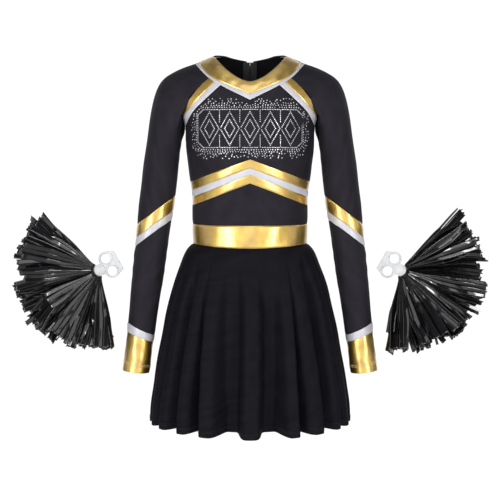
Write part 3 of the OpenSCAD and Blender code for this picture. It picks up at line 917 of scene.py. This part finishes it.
def fold_height(turn, t):
    """How far a fold stands out, from 0 in a valley to 1 on a ridge, and its sideways lean."""
    height, lean = np.zeros_like(turn), np.zeros_like(turn)
    for k, ridge in enumerate(FOLD_RIDGES):
        for sign in (1, -1) if ridge else (1,):
            centre = sign * ridge + 1.3 * np.sin(3 * t + 2.1 * k * sign)
            away = (turn - centre + 180) % 360 - 180
            width = FOLD_HALF * (1 + 0.13 * math.sin(3.3 * k + sign)) * (1.15 - 0.15 * t)
            bump = np.exp(-(away / width) ** 4)
            height = np.maximum(height, bump)
            lean = lean + bump * away * 0.12
    begun = smooth((t - 0.03 * (1 + np.sin(np.radians(5 * turn)))) / FOLD_START)
    return 1 - (1 - height) * begun, lean * begun


def skirt_at(s, t):
    """The skirt over (s, t): tube-like folds that grow from the waist to the hem."""
    angle = 2 * np.pi * s - np.pi / 2
    turn = 360 * s
    height, lean = fold_height(turn, t)
    drawn = t ** 0.65
    beside = np.cos(angle) ** 2
    low = HEM_Z + HEM_RISE[0] + HEM_RISE[1] * beside
    low = low + VALLEY_RISE * (1 - height) * drawn ** 3
    z = mix(WAIST_LOW + SIDE_RISE * beside, low, t)
    w, d = skirt_radii(mix(WAIST_LOW, HEM_Z, t), np.sin(angle))
    inward = FOLD_DEPTH * drawn * (1 - height) - 2.5 * t
    angle = angle + np.radians(lean) * drawn
    return np.stack([(w - inward) * np.cos(angle), (d - inward) * np.sin(angle), z], -1)


HEM_TURN = 12.0


def soft_cloth(points, s, t):
    return 0.5 * ripple(points, 60, seed=51) * np.minimum(1, 8 * t)


def make_skirt():
    around = np.linspace(0, 1, 721)
    length = WAIST_LOW - HEM_Z
    cut = 1 - HEM_TURN / length
    # The skirt and its hem wear the darker knit, which paints shade onto the skirt.
    skirt = sew("skirt", skirt_at, around, steps(length * cut, 5.0) * cut, SHADED_SKIRT_KNIT, ring=True,
                shape=soft_cloth, seams="t", thick=0.9)
    turned = np.concatenate([[cut], cut + (1 - cut) * np.linspace(0.04, 0.9, 6),
                             [1 - (1 - cut) * 0.04, 1]])

    def hem_shape(points, s, t):
        return soft_cloth(points, s, t) + 0.35 * np.sin(np.pi * (t - cut) / (1 - cut))

    hem = sew("skirt_hem", skirt_at, around, turned, SHADED_SKIRT_KNIT, ring=True, shape=hem_shape,
              seams="t", seam_depth=0.5, thick=1.8)
    return skirt, hem


def skirt_cut():
    """Width at the hem, height and area of the flat cut, measured along the folded cloth."""
    around, drop = np.linspace(0, 1, 1441), np.linspace(0, 1, 33)
    rounds = [run_along(skirt_at(around, t + 0 * around))[-1] for t in drop]
    falls = [run_along(skirt_at(s + 0 * drop, drop))[-1] for s in np.linspace(0, 1, 73)]
    height = np.mean(falls)
    return rounds[-1], height, np.mean(rounds) * height


# ---------------------------------------------------------------- rhinestones

STONE_R = 0.9


def surface_frame(p):
    """Outward normals of the front at plane points."""
    here = front_at(p)
    right = front_at(p + np.array([0.5, 0])) - here
    up = front_at(p + np.array([0, 0.5])) - here
    return here, unit(np.cross(right, up)), unit(right)


STONE_SIDES = 8
STONE_RINGS = ((1.0, 0.0), (1.0, 0.22), (0.52, 0.62))     # radius and height, per radius


def set_stones(name, places, radii, seed):
    """Flat-backed cut stones with a table, a crown of facets and a girdle, in one mesh."""
    rng = np.random.default_rng(seed)
    here, normal, right = surface_frame(places)
    up = np.cross(normal, right)
    turn = 2 * np.pi * np.arange(STONE_SIDES) / STONE_SIDES
    points, faces = [], []
    for k in range(len(places)):
        n = unit(normal[k] + rng.normal(0, 0.05, 3))
        spin = rng.uniform(0, 2 * np.pi)
        faces += tube_faces(len(STONE_RINGS), STONE_SIDES, first=len(points))
        ring = np.cos(turn + spin)[:, None] * right[k] + np.sin(turn + spin)[:, None] * up[k]
        for size, height in STONE_RINGS:
            points.extend(here[k] + ring * radii[k] * size + n * (radii[k] * height + 0.15))
    return new_object(name, points, faces, [STONE], smooth_shade=False)


MOTIF_Z = -115.5
MOTIF_W = 86.0
MOTIF_H = 31.0
MOTIF_CUT = 9.0            # how far the frame's corners are cut
DIAMONDS = 5


def along_line(corners, step):
    """Points at even steps along a chain of corners."""
    result = []
    for a, b in zip(corners, corners[1:]):
        a, b = np.array(a, float), np.array(b, float)
        count = max(1, int(round(np.linalg.norm(b - a) / step)))
        result += [mix(a, b, k / count) for k in range(count)]
    return result


def motif_points():
    """A row of diamonds with a double outline, joined by a frame with cut corners."""
    pitch = 2 * (MOTIF_W - 3) / DIAMONDS
    points = []
    for k in range(DIAMONDS):
        x = (k - (DIAMONDS - 1) / 2) * pitch
        for scale in (0.94, 0.5):
            w, h = pitch / 2 * scale, (MOTIF_H - 2) * scale
            points += along_line([(x, h), (x + w, 0), (x, -h), (x - w, 0), (x, h)], 2.9)
        if k:
            points += along_line([(x - pitch / 2, MOTIF_H - 1), (x - pitch / 2, 8)], 3.0)
            points += along_line([(x - pitch / 2, 1 - MOTIF_H), (x - pitch / 2, -8)], 3.0)
    w, h = MOTIF_W - MOTIF_CUT, MOTIF_H - MOTIF_CUT
    corners = [(-w, MOTIF_H), (w, MOTIF_H), (MOTIF_W, h), (MOTIF_W, -h), (w, -MOTIF_H),
               (-w, -MOTIF_H), (-MOTIF_W, -h), (-MOTIF_W, h), (-w, MOTIF_H)]
    points += along_line(corners, 2.7)
    return thin_out(np.array(points), 2.1)


def thin_out(points, gap):
    """Drops points that lie closer than gap to one kept before."""
    kept = []
    for p in points:
        if all(np.hypot(*(p - q)) >= gap for q in kept):
            kept.append(p)
    return np.array(kept)


def rounded_outline(w, h, radius, step, shift):
    """Points at even steps round a rectangle with rounded corners."""
    turn = np.linspace(0, np.pi / 2, 9)
    chain = []
    for k, (sx, sz) in enumerate(((1, 1), (-1, 1), (-1, -1), (1, -1))):
        centre = np.array([sx * (w - radius), sz * (h - radius)])
        angle = turn + k * np.pi / 2
        chain += list(centre + radius * np.stack([np.cos(angle), np.sin(angle)], -1))
    chain = np.array(chain + chain[:1])
    run = run_along(chain)
    count = int(run[-1] / step)
    return at_distances((np.arange(count) + shift) * run[-1] / count, run, chain)


def scatter_points():
    """Staggered rows of stones round the frame, looser and patchier further out."""
    rng = np.random.default_rng(7)
    points = []
    for row in range(5):
        margin = 3.7 + 3.3 * row
        line = rounded_outline(MOTIF_W + margin * 0.62, MOTIF_H + margin, 9 + margin,
                               3.9 + 0.3 * row, 0.5 * (row % 2))
        points += [p + rng.normal(0, 0.22 + 0.16 * row, 2) for p in line
                   if rng.random() > 0.02 + 0.11 * row]
    kept = thin_out(np.array(points), 2.7)
    room = np.array([in_chest(p) for p in kept])
    return kept[room]


def in_chest(p):
    """Whether a stone stays on the black chest, clear of the stripes."""
    x, z = abs(p[0]), p[1] + MOTIF_Z
    if x < TRIM_KNEE[0]:
        neck = mix(TRIM_LOW, TRIM_KNEE[1], x / TRIM_KNEE[0])
    else:
        neck = np.interp(x, (48, 76.5, 95, 110), (-43, -69, -87.5, -111))
    low = CHEVRON_Z - CHEVRON_DROP * x / half_w(z)
    return low + 5 < z < neck - 5


def make_rhinestones():
    centre = np.array([0, MOTIF_Z])
    motif = motif_points() + centre
    put(set_stones("rhinestone_motif", motif, np.full(len(motif), STONE_R), 61), "dress",
        "rhinestone", "rhinestone_motif")
    loose = scatter_points() + centre
    sizes = np.random.default_rng(8).choice([0.8, 0.95, 1.1], len(loose), p=[0.3, 0.5, 0.2])
    put(set_stones("rhinestone_scatter", loose, sizes, 62), "dress", "rhinestone",
        "rhinestone_scatter")


# ---------------------------------------------------------------- zip
# In the zip's own frame Z runs up the back and Y points out of the back.

ZIP_LEN = abs(cad_mm("zip_tape_left")[0][2]) / math.cos(LEAN) - 0.5
TAPE_Y = -2.5
SLIDER_Z = -9.0
PULL_Y = 3.0
PULL_LEN = 22.5
COIL_TOP = -8.2
COIL_PITCH = 1.25
COIL_STAGGER = 0.62        # how much lower the right coil's turns lie


def from_zip(points):
    """Points of the zip's frame, as points of the part."""
    points = np.asarray(points, float)
    y, z = points[..., 1], points[..., 2]
    return np.stack([points[..., 0], NAPE + y * math.cos(LEAN) - z * math.sin(LEAN),
                     y * math.sin(LEAN) + z * math.cos(LEAN)], -1)


def circles(centres, side, up, radius, sides, squash=(1, 1)):
    """Rings of points round each centre, in the planes of side and up."""
    turn = 2 * np.pi * np.arange(sides)[:, None] / sides
    side, up = (np.reshape(v, (-1, 1, 3)) for v in (side, up))
    ring = squash[0] * np.cos(turn) * side + squash[1] * np.sin(turn) * up
    return (centres[:, None] + np.reshape(radius, (-1, 1, 1)) * ring).reshape(-1, 3)


def tube_along(centres, radius, sides, squash=(1, 1)):
    """Points and faces of a closed tube round a line of centres."""
    centres = np.asarray(centres, float)
    forward = unit(np.gradient(centres, axis=0))
    side = unit(np.cross(forward, np.array([0.01, 0.2, 1.0])))
    points = circles(centres, side, np.cross(side, forward), radius, sides, squash)
    return points, tube_faces(len(centres), sides)


class Heap:
    """Collects many small meshes into one."""

    def __init__(self):
        self.points, self.faces, self.uvs = [], [], []

    def add(self, points, faces, uv=None):
        first = len(self.points)
        self.points.extend(np.asarray(points).tolist())
        self.faces.extend(tuple(first + i for i in f) for f in faces)
        self.uvs.extend(np.zeros((len(points), 2)).tolist() if uv is None else uv.tolist())

    def make(self, name, material):
        return new_object(name, self.points, self.faces, [material], uv=np.array(self.uvs))


def rounded_box(low, high, radius, name, material):
    """A box with rounded edges, in the zip's frame."""
    low, high = np.array(low, float), np.array(high, float)
    corners = [[(low, high)[i][0], (low, high)[j][1], (low, high)[k][2]]
               for i in (0, 1) for j in (0, 1) for k in (0, 1)]
    faces = [(0, 1, 3, 2), (4, 6, 7, 5), (0, 4, 5, 1), (2, 3, 7, 6), (0, 2, 6, 4), (1, 5, 7, 3)]
    obj = new_object(name, from_zip(corners), faces, [material])
    round_edges(obj, radius)
    return obj


def round_edges(obj, radius, segments=3, angle=35):
    """Applies a bevel to the sharp edges."""
    bevel = obj.modifiers.new("round", "BEVEL")
    bevel.width = radius * MM
    bevel.segments = segments
    bevel.limit_method = "ANGLE"
    bevel.angle_limit = math.radians(angle)
    apply_modifiers(obj)
    obj.data.polygons.foreach_set("use_smooth", np.ones(len(obj.data.polygons), bool))
    obj.data.set_sharp_from_angle(angle=math.radians(40))


def apply_modifiers(obj):
    graph = bpy.context.evaluated_depsgraph_get()
    mesh = bpy.data.meshes.new_from_object(obj.evaluated_get(graph))
    obj.modifiers.clear()
    obj.data = mesh


def join(objects, name):
    """Joins objects into the first one."""
    with bpy.context.temp_override(active_object=objects[0], selected_editable_objects=objects):
        bpy.ops.object.join()
    objects[0].name = name
    return objects[0]


def make_zip():
    for side, sign in SIDES.items():
        def tape(s, t):
            x = mix(0.25, 12.0, s)
            crown = 0.25 * np.exp(-((x - 2.6) / 1.2) ** 2)
            return from_zip(np.stack([-x, TAPE_Y + crown, 1.2 - (ZIP_LEN + 1.2) * t], -1))
        sew("zip_tape_" + side, tape, np.linspace(0, 1, 13), np.linspace(0, 1, 161), NYLON,
            lining=NYLON, seams="", thick=0.5, flip=sign > 0)
        coil = Heap()
        z = COIL_TOP - (0 if sign > 0 else COIL_STAGGER)
        while z > -ZIP_LEN + 5:
            loop = [(sign * 2.25, -2.0, z + 0.1), (sign * 1.7, -1.1, z), (sign * 0.7, -0.75, z),
                    (sign * -0.15, -1.1, z - 0.05), (sign * -0.2, -1.6, z - 0.1),
                    (sign * 0.6, -2.05, z - 0.2), (sign * 2.0, -2.2, z - 0.3)]
            coil.add(*tube_along(from_zip(loop), 0.34, 6))
            z -= COIL_PITCH
        put(coil.make("zip_coil_" + side, NYLON), "dress", "zip_nylon", "zip_coil_" + side)
    stops = [rounded_box((s * 1.5 - 1, -2.4, -7.5), (s * 1.5 + 1, -0.4, -4), 0.35,
                         "zip_top_stop", METAL) for s in (1, -1)]
    put(join(stops, "zip_top_stops"), "dress", "zip_metal", "zip_top_stops")
    put(rounded_box((-2.4, -2.4, 0.8 - ZIP_LEN), (2.4, -0.4, 4.4 - ZIP_LEN), 0.4,
                    "zip_bottom_stop", METAL), "dress", "zip_metal", "zip_bottom_stop")
    make_slider()
    make_pull()


def outline_plate(name, outline, z0, z1, material, place, radius, segments=3):
    """A flat plate from a 2D outline, with rounded rims; place maps (a, b, height)."""
    n = len(outline)
    points = [(a, b, z0) for a, b in outline] + [(a, b, z1) for a, b in outline]
    obj = new_object(name, place(np.array(points, float)), tube_faces(2, n), [material])
    round_edges(obj, radius, segments)
    return obj


def make_slider():
    """Shield-shaped outer plate with curled flanges, and the bridge."""
    shield = [(-2.2, -6), (2.2, -6), (3.4, -5), (4, -2), (4, 3), (3.2, 4.6), (1.6, 5),
              (-1.6, 5), (-3.2, 4.6), (-4, 3), (-4, -2), (-3.4, -5)]
    place = lambda p: from_zip(np.stack([p[:, 0], p[:, 2], p[:, 1] + SLIDER_Z], -1))
    parts = [outline_plate("slider", [(-a, b) for a, b in shield], 0.1, 1.9, METAL, place, 0.5)]
    for s in (1, -1):
        parts.append(rounded_box((s * 3.4 - 0.55, -1.8, SLIDER_Z - 5), (s * 3.4 + 0.55, 0.6,
                                 SLIDER_Z + 4), 0.4, "flange", METAL))
    bridge = [(0, 1.6, -4.0), (0, 3.4, -3.9), (0, 4.5, -3.2), (0, 4.8, -1.5), (0, 4.8, 1.4),
              (0, 4.5, 2.8), (0, 3.4, 3.5), (0, 1.6, 3.6)]
    heap = Heap()
    heap.add(*tube_along(from_zip(np.array(bridge) + (0, 0, SLIDER_Z)), 0.55, 10,
                         squash=(1.3, 0.9)))
    parts.append(heap.make("bridge", METAL))
    put(join(parts, "zip_slider"), "zip_slider", "zip_metal", "zip_slider")


def make_pull():
    """Teardrop pull: a bar under the bridge, two arms and a tab with a raised rim."""
    place = lambda p: from_zip(np.stack([p[:, 0], p[:, 2] + PULL_Y, p[:, 1] + SLIDER_Z], -1))
    low = -PULL_LEN
    tab = [(-2.0, -6.2), (-2.6, -9), (-2.6, low + 3.5), (-2.2, low + 1), (-1.0, low), (1.0, low),
           (2.2, low + 1), (2.6, low + 3.5), (2.6, -9), (2.0, -6.2)]
    parts = [outline_plate("pull", tab, -0.5, 0.5, METAL, place, 0.3)]
    inner = [(a * 0.62, (b + 14.5) * 0.74 - 14.5) for a, b in tab]
    parts.append(outline_plate("pull_face", inner, -0.55, 0.62, METAL, place, 0.12, 2))
    heap = Heap()
    for s in (1, -1):
        heap.add(*tube_along(place(np.array([(s * 2.0, 0, 0), (s * 2.1, -3, 0),
                                             (s * 1.9, -6.6, 0)])), 0.5, 10))
    heap.add(*tube_along(place(np.array([(-2.5, 0, 0), (-1, 0, 0), (1, 0, 0), (2.5, 0, 0)])),
                         0.75, 12))
    parts.append(heap.make("pull_bar", METAL))
    put(join(parts, "zip_pull"), "zip_pull", "zip_metal", "zip_pull")


# ---------------------------------------------------------------- stitches


STITCH_LEN = 2.4
STITCH_GAP = 0.9


def stitch_line(heap, points, normals, radius):
    """Short threads laid along a line on the cloth."""
    run = run_along(points)
    at = 0.6
    while at + STITCH_LEN < run[-1]:
        spots = np.linspace(at, at + STITCH_LEN, 4)
        lift = at_distances(spots, run, normals) * np.array([-0.05, 0.22, 0.22, -0.05])[:, None]
        heap.add(*tube_along(at_distances(spots, run, points) + lift, radius, 5))
        at += STITCH_LEN + STITCH_GAP


def surface_line(where, s, t):
    """Points and outward normals of a surface along parameter lines."""
    here = where(s, t)
    e = 1e-3
    right = where(np.clip(s + e, 0, 1), t) - where(np.clip(s - e, 0, 1), t)
    down = where(s, np.clip(t + e, 0, 1)) - where(s, np.clip(t - e, 0, 1))
    return here, unit(np.cross(down, right))


def mirror_x(points, flip):
    return points * MIRROR if flip else points


def stitched(name, lines, material, body="dress", flip=False, proud=0.1, radius=0.2):
    """One object of stitch lines, each given as (surface, s, t)."""
    heap = Heap()
    for where, s, t in lines:
        points, normals = surface_line(where, s, t)
        stitch_line(heap, mirror_x(points + normals * proud, flip), mirror_x(normals, flip),
                    radius)
    put(heap.make(name, material), body, SLOTS[material])


def rows(where, s, *levels):
    """Lines across a surface along s, one at each level of t."""
    return [(where, s, level + 0 * s) for level in levels]


def make_stitches():
    full, half = np.linspace(0.004, 0.996, 400), np.linspace(0.03, 0.97, 120)
    ring, back = np.linspace(0, 1, 200), np.linspace(0.02, 0.985, 300)
    stitched("stitches_neck", rows(neck_band, full, 0.09, 0.93), THREAD_GOLD, proud=0.35)
    stitched("stitches_bodice", rows(both_halves(chest_at), full, 0.985)
             + rows(both_halves(midriff_half), full, 0.03), THREAD_BLACK)
    waist = waist_ring(WAIST_TOP, WAIST_LOW, BAND_PROUD)
    stitched("stitches_waist", rows(waist, full, 0.05, 0.95), THREAD_GOLD, proud=0.15)
    levels = [1 - up / (WAIST_LOW - HEM_Z) for up in (HEM_TURN - 1.5, HEM_TURN - 4)]
    stitched("stitches_hem", rows(skirt_at, np.linspace(0, 1, 1600), *levels), THREAD_BLACK,
             proud=0.7)
    for side, sign in SIDES.items():
        flip = sign < 0
        stitched("stitches_cuff_" + side, rows(sleeve_between("cuff_gold", "end"), ring, 0.75,
                                               0.80),
                 THREAD_PALE, "lower_sleeve_" + side, flip, proud=0.3, radius=0.36)
        stitched("stitches_zip_" + side, [(back_half, 0.955 + 0 * back, back)], THREAD_BLACK,
                 flip=flip)
        stitched("stitches_raglan_" + side,
                 [(raglan_gold, level + 0 * half, half) for level in (0.1, 0.9)], THREAD_GOLD,
                 flip=flip)


# ---------------------------------------------------------------- pom-poms


def pom_frame(sign):
    """Hub, direction of the handle, direction along the finger holes, and the plate's normal."""
    centre = sum(cad_mm("pom_hub_caps_" + ("left" if sign > 0 else "right"))) / 2
    tilt = math.radians(29)
    handle = np.array([-sign * math.cos(tilt), 0, math.sin(tilt)])
    across = np.array([math.sin(tilt) * sign, 0, math.cos(tilt)])
    return centre, handle, across, np.array([0, 1.0, 0])


def pom_points(axes, along, across, out):
    """Points at distances from the hub along the pom-pom's three directions."""
    return axes[0] + np.stack(np.broadcast_arrays(along, across, out), -1) @ np.array(axes[1:])


HANDLE_HOLE_U, HANDLE_HOLE_V = 17.8, 12.0
FINGER_R, RING_R = 8.3, 12.2
RIM_BEADS = ((FINGER_R + 1.3, 0.75), (RING_R - 0.6, 0.5))     # radius of the ring and of the bead
RIM_OUT = 2.45


def make_handle(side, sign):
    """Moulded plate: the CAD plate's shape with softened edges and a raised rim per hole."""
    axes = pom_frame(sign)
    source = frame["nodes"]["pom_handle_" + side]
    obj = source.copy()
    obj.data = source.data.copy()
    obj.name = "handle_plate_" + side
    bpy.context.collection.objects.link(obj)
    obj.parent = None
    obj.data.materials.clear()
    obj.data.materials.append(PLASTIC)
    weld = obj.modifiers.new("weld", "WELD")
    weld.merge_threshold = 1e-5
    flat = obj.modifiers.new("flat", "DECIMATE")
    flat.decimate_type = "DISSOLVE"
    flat.angle_limit = math.radians(1)
    apply_modifiers(obj)
    round_edges(obj, 0.9, 3, 40)
    heap = Heap()
    turn = np.linspace(0, 2 * np.pi, 96, endpoint=False)
    for hole_v in (HANDLE_HOLE_V, -HANDLE_HOLE_V):
        for face in (1, -1):
            for radius, bead in RIM_BEADS:
                line = pom_points(axes, HANDLE_HOLE_U + radius * np.cos(turn),
                                  hole_v + radius * np.sin(turn), face * RIM_OUT)
                heap.add(*ring_tube(line, bead, axes[-1]))
    rims = heap.make("handle_rims_" + side, PLASTIC)
    obj.matrix_world = rims.matrix_world
    return put(join([obj, rims], "pom_handle_shell_" + side), "pom_pom_" + side, "pom_clear",
               "pom_handle_" + side)


def ring_tube(line, radius, normal, sides=8):
    """Points and faces of a closed ring of round section."""
    side = np.cross(unit(np.roll(line, -1, 0) - np.roll(line, 1, 0)), normal)
    faces = [f[::-1] for f in tube_faces(len(line), sides, closed=True)]
    return circles(line, side, normal, radius, sides), faces


def lathe(profile, centre, axis, sides=64):
    """Points and faces of a turned shape from (radius, height) pairs."""
    side = unit(np.cross(axis, np.array([0.3, 0.1, 1.0])))
    radii, heights = np.array(profile).T
    points = circles(centre + axis * heights[:, None], side, np.cross(axis, side), radii, sides)
    return points, tube_faces(len(profile), sides)


# Radius and height of a hub cap, from the rim to the top of the dome
CAP_PROFILE = ((9.2, 2.4), (9.2, 3.3), (8.7, 3.9), (7.9, 4.0), (7.3, 3.7), (6.5, 4.6), (4.6, 5.4),
               (2.2, 5.75), (0.2, 5.8))
TIE_TURNS = 6
TIE_HALF = 74              # the tie's half angle round the hub, in degrees


def make_hub(side, sign):
    """Domed hub caps with a rim, and the wound tie behind them."""
    axes = pom_frame(sign)
    heap = Heap()
    for face in (1, -1):
        heap.add(*lathe(CAP_PROFILE, axes[0], axes[-1] * face))
    put(heap.make("pom_hub_shell_" + side, PLASTIC), "pom_pom_" + side, "pom_clear",
        "pom_hub_caps_" + side)
    tie = Heap()
    turn = np.radians(np.linspace(180 - TIE_HALF, 180 + TIE_HALF, 60))
    for k in range(TIE_TURNS):
        radius = 11.0 + 0.7 * k
        out = (k % 2 - 0.5) * 7.0 + 0.35 * np.sin(turn * 9 + k)
        line = pom_points(axes, radius * np.cos(turn), radius * np.sin(turn), out)
        tie.add(*tube_along(line, 0.9, 7))
    put(tie.make("pom_tie_cord_" + side, NYLON), "pom_pom_" + side, "pom_film",
        "pom_tie_" + side)


STREAMER_LEN = 153.0
TIE_R = 12.5
STRIP_ROWS, STRIP_COLS = 34, 5
LOOSE_SHARE = 0.16
# Slant of each layer to the front and the back, in degrees
LAYERS = {"front": (-27, -11), "middle": (-9, 9), "back": (11, 27)}
FAN = (-67, 69)            # the fan's edges round the hub, in degrees
BUNCHES, LEVELS = 9, 2
FILM_THICK = 0.12


def crisp(phase):
    """A wave with straight flanks and sharp turns, between -1 and 1."""
    return np.arcsin(0.97 * np.sin(phase)) * 2 / np.pi


def bunch(heap, rng, axes, fan, slant, length, strips, pitch):
    """Strips cut from one sheet of film: they lie side by side and crease together."""
    hub, handle, across, normal = axes
    out = -handle * math.cos(fan) + across * math.sin(fan)
    side = unit(np.cross(out, normal))
    out = out * math.cos(slant) + normal * math.sin(slant)
    up = np.cross(side, out)
    roll = rng.normal(0, 0.5)
    side, up = (side * math.cos(roll) + up * math.sin(roll),
                up * math.cos(roll) - side * math.sin(roll))
    bow, sway = rng.normal(0, 5.0), rng.normal(0, 5.0)
    phase = rng.uniform(0, 2 * np.pi, 4)
    wide_fold, long_fold = rng.uniform(7, 14), rng.uniform(16, 34)
    turned = rng.uniform(-0.6, 0.6)
    kink_at, kink_side, kink_up = rng.uniform(0.4, 0.8), rng.normal(0, 14), rng.normal(0, 22)
    for k in range(strips):
        loose = rng.random() < LOOSE_SHARE
        far = length + rng.normal(0, 2.2) - abs(rng.normal(0, 9.0)) * loose
        r = np.linspace(TIE_R, far, STRIP_ROWS)[:, None]
        grow = (r - TIE_R) / (length - TIE_R)
        squeeze = 0.14 + 0.86 * smooth(grow * 1.5) ** 0.8
        v = np.linspace(-0.54, 0.54, STRIP_COLS)[None, :] * pitch
        twist = (rng.normal(0, 0.16) + loose * rng.normal(0, 1.1)) * grow
        middle = (k - (strips - 1) / 2) * pitch * squeeze
        own = rng.normal(0, 0.45) + loose * rng.normal(0, 7.0) * grow
        a = middle + v * squeeze * np.cos(twist) + loose * rng.normal(0, 8.0) * grow ** 2
        fold = (1.4 * crisp(a / wide_fold + phase[0] + turned * grow)
                + 1.5 * crisp(r / long_fold + phase[1] + 0.05 * a)
                + 0.35 * crisp(r / 7.0 + phase[2] + 0.2 * a))
        h = fold * (0.35 + 0.65 * grow) + own * grow ** 0.5 + v * squeeze * np.sin(twist)
        h = h + 0.0016 * bow * a ** 2 * grow
        far_end = np.zeros((STRIP_ROWS, STRIP_COLS))
        far_end[-1] = (rng.uniform(-1.2, 1.2, STRIP_COLS)
                       + rng.normal(0, 1.2) * np.linspace(-1, 1, STRIP_COLS))
        bent = np.clip(grow - kink_at, 0, None)
        points = (hub + out * (r + far_end)[..., None]
                  + side * (a + sway * grow ** 2 + kink_side * bent)[..., None]
                  + up * (h + bow * grow ** 2 + kink_up * bent)[..., None])
        uv = np.stack(np.broadcast_arrays(a + 40 * fan, r + 300 * slant), -1).reshape(-1, 2) * MM
        corners = [i * STRIP_COLS + j for i in range(STRIP_ROWS - 1) for j in range(STRIP_COLS - 1)]
        faces = [(k, k + STRIP_COLS, k + STRIP_COLS + 1, k + 1) for k in corners]
        heap.add(points.reshape(-1, 3), faces, uv)


def make_streamers(side, sign):
    axes = pom_frame(sign)
    for seed, (layer, (low, high)) in enumerate(LAYERS.items()):
        rng = np.random.default_rng(70 + 2 * seed + (sign > 0))
        heap = Heap()
        for k in range(BUNCHES):
            fan = mix(*FAN, (k + 0.5) / BUNCHES) + rng.normal(0, 2.5)
            for level in range(LEVELS):
                slant = mix(low, high, (level + rng.uniform(0.1, 0.9)) / LEVELS)
                reach = STREAMER_LEN * rng.uniform(0.9, 1.0) * (1 - 0.06 * abs(fan) / 70)
                bunch(heap, rng, axes, math.radians(fan + rng.normal(0, 3)),
                      math.radians(slant), reach, int(rng.integers(3, 5)),
                      rng.uniform(6.6, 9.0))
        obj = heap.make(f"pom_streamers_{layer}_film_{side}", FILM)
        thicken = obj.modifiers.new("film", "SOLIDIFY")
        thicken.thickness = FILM_THICK * MM
        apply_modifiers(obj)
        put(obj, "pom_pom_" + side, "pom_film", f"pom_streamers_{layer}_{side}")


# ---------------------------------------------------------------- studio


def make_stage():
    """Pale matt floor well below the hem."""
    floor_z, front_y, back_y, half = -1150.0, -2600.0, 1430.0, 2800.0
    points = [(x, y, floor_z) for y in (front_y, back_y) for x in (-half, half)]
    faces = [(0, 1, 3, 2)]
    material, tree, shader = new_material("paper")
    grain = noise(tree, object_space(tree), 30.0)
    tree.links.new(ramp(tree, grain, (0.86, 0.86, 0.86), (0.9, 0.9, 0.9)),
                   shader.inputs["Base Color"])
    shader.inputs["Roughness"].default_value = 0.9
    new_object("paper", points, faces, [material], smooth_shade=False)


# Place and size in metres, and power in watts
LIGHTS = {
    "key_left": ((-1.65, -2.3, -0.15), (1.15, 1.9), 22),
    "key_right": ((1.65, -2.3, -0.15), (1.15, 1.9), 19),
    "strip_left": ((-1.5, -2.2, -0.1), (0.1, 1.8), 16),
    "strip_right": ((1.7, -2.1, -0.1), (0.1, 1.8), 14),
    "softbox": ((0, -3.0, -0.15), (1.2, 1.9), 10),
    "above": ((0, -2.2, 1.9), (1.6, 1.6), 16),
    "side_left": ((-2.4, -0.4, 0.0), (0.9, 1.5), 3),
    "side_right": ((2.4, -0.4, 0.0), (0.9, 1.5), 3),
    "top": ((0, -0.3, 1.9), (1.2, 1.2), 2),
    "back_left": ((-1.6, 1.2, 0.6), (0.4, 1.6), 6),
    "back_right": ((1.6, 1.2, 0.6), (0.4, 1.6), 6)}
LIGHTS_AIM = Vector((0, 0, -0.3))


def make_world():
    """A dim room whose far wall, behind the dress, is bright and white."""
    world = bpy.data.worlds.new("studio")
    bpy.context.scene.world = world
    world.use_nodes = True
    tree = world.node_tree
    direction = add(tree, "ShaderNodeTexCoord", "Generated", {})
    backwards = add(tree, "ShaderNodeSeparateXYZ", "Y", {0: direction})
    wall = ramp(tree, backwards, (0.15, 0.153, 0.163), (1.05, 1.05, 1.05), start=0.55, end=0.93)
    fill(tree, tree.nodes["Background"], {"Color": wall, "Strength": 1.0})


def make_lights():
    for name, (place, (width, height), power) in LIGHTS.items():
        data = bpy.data.lights.new(name, "AREA")
        data.shape = "RECTANGLE"
        data.size, data.size_y = width, height
        data.energy = power
        light = bpy.data.objects.new(name, data)
        bpy.context.collection.objects.link(light)
        light.location = place
        light.rotation_euler = (LIGHTS_AIM - light.location).to_track_quat("-Z", "Y").to_euler()
    bpy.context.scene.view_settings.view_transform = "Standard"


# ---------------------------------------------------------------- everything

make_bodice()
for side_name, side_sign in SIDES.items():
    make_sleeve(side_name, side_sign)
    make_handle(side_name, side_sign)
    make_hub(side_name, side_sign)
    make_streamers(side_name, side_sign)
make_waist()
skirt_piece, hem_piece = make_skirt()
cut_w, cut_h, cut_area = skirt_cut()
make_rhinestones()
make_zip()
make_stitches()
make_stage()
make_lights()
make_world()
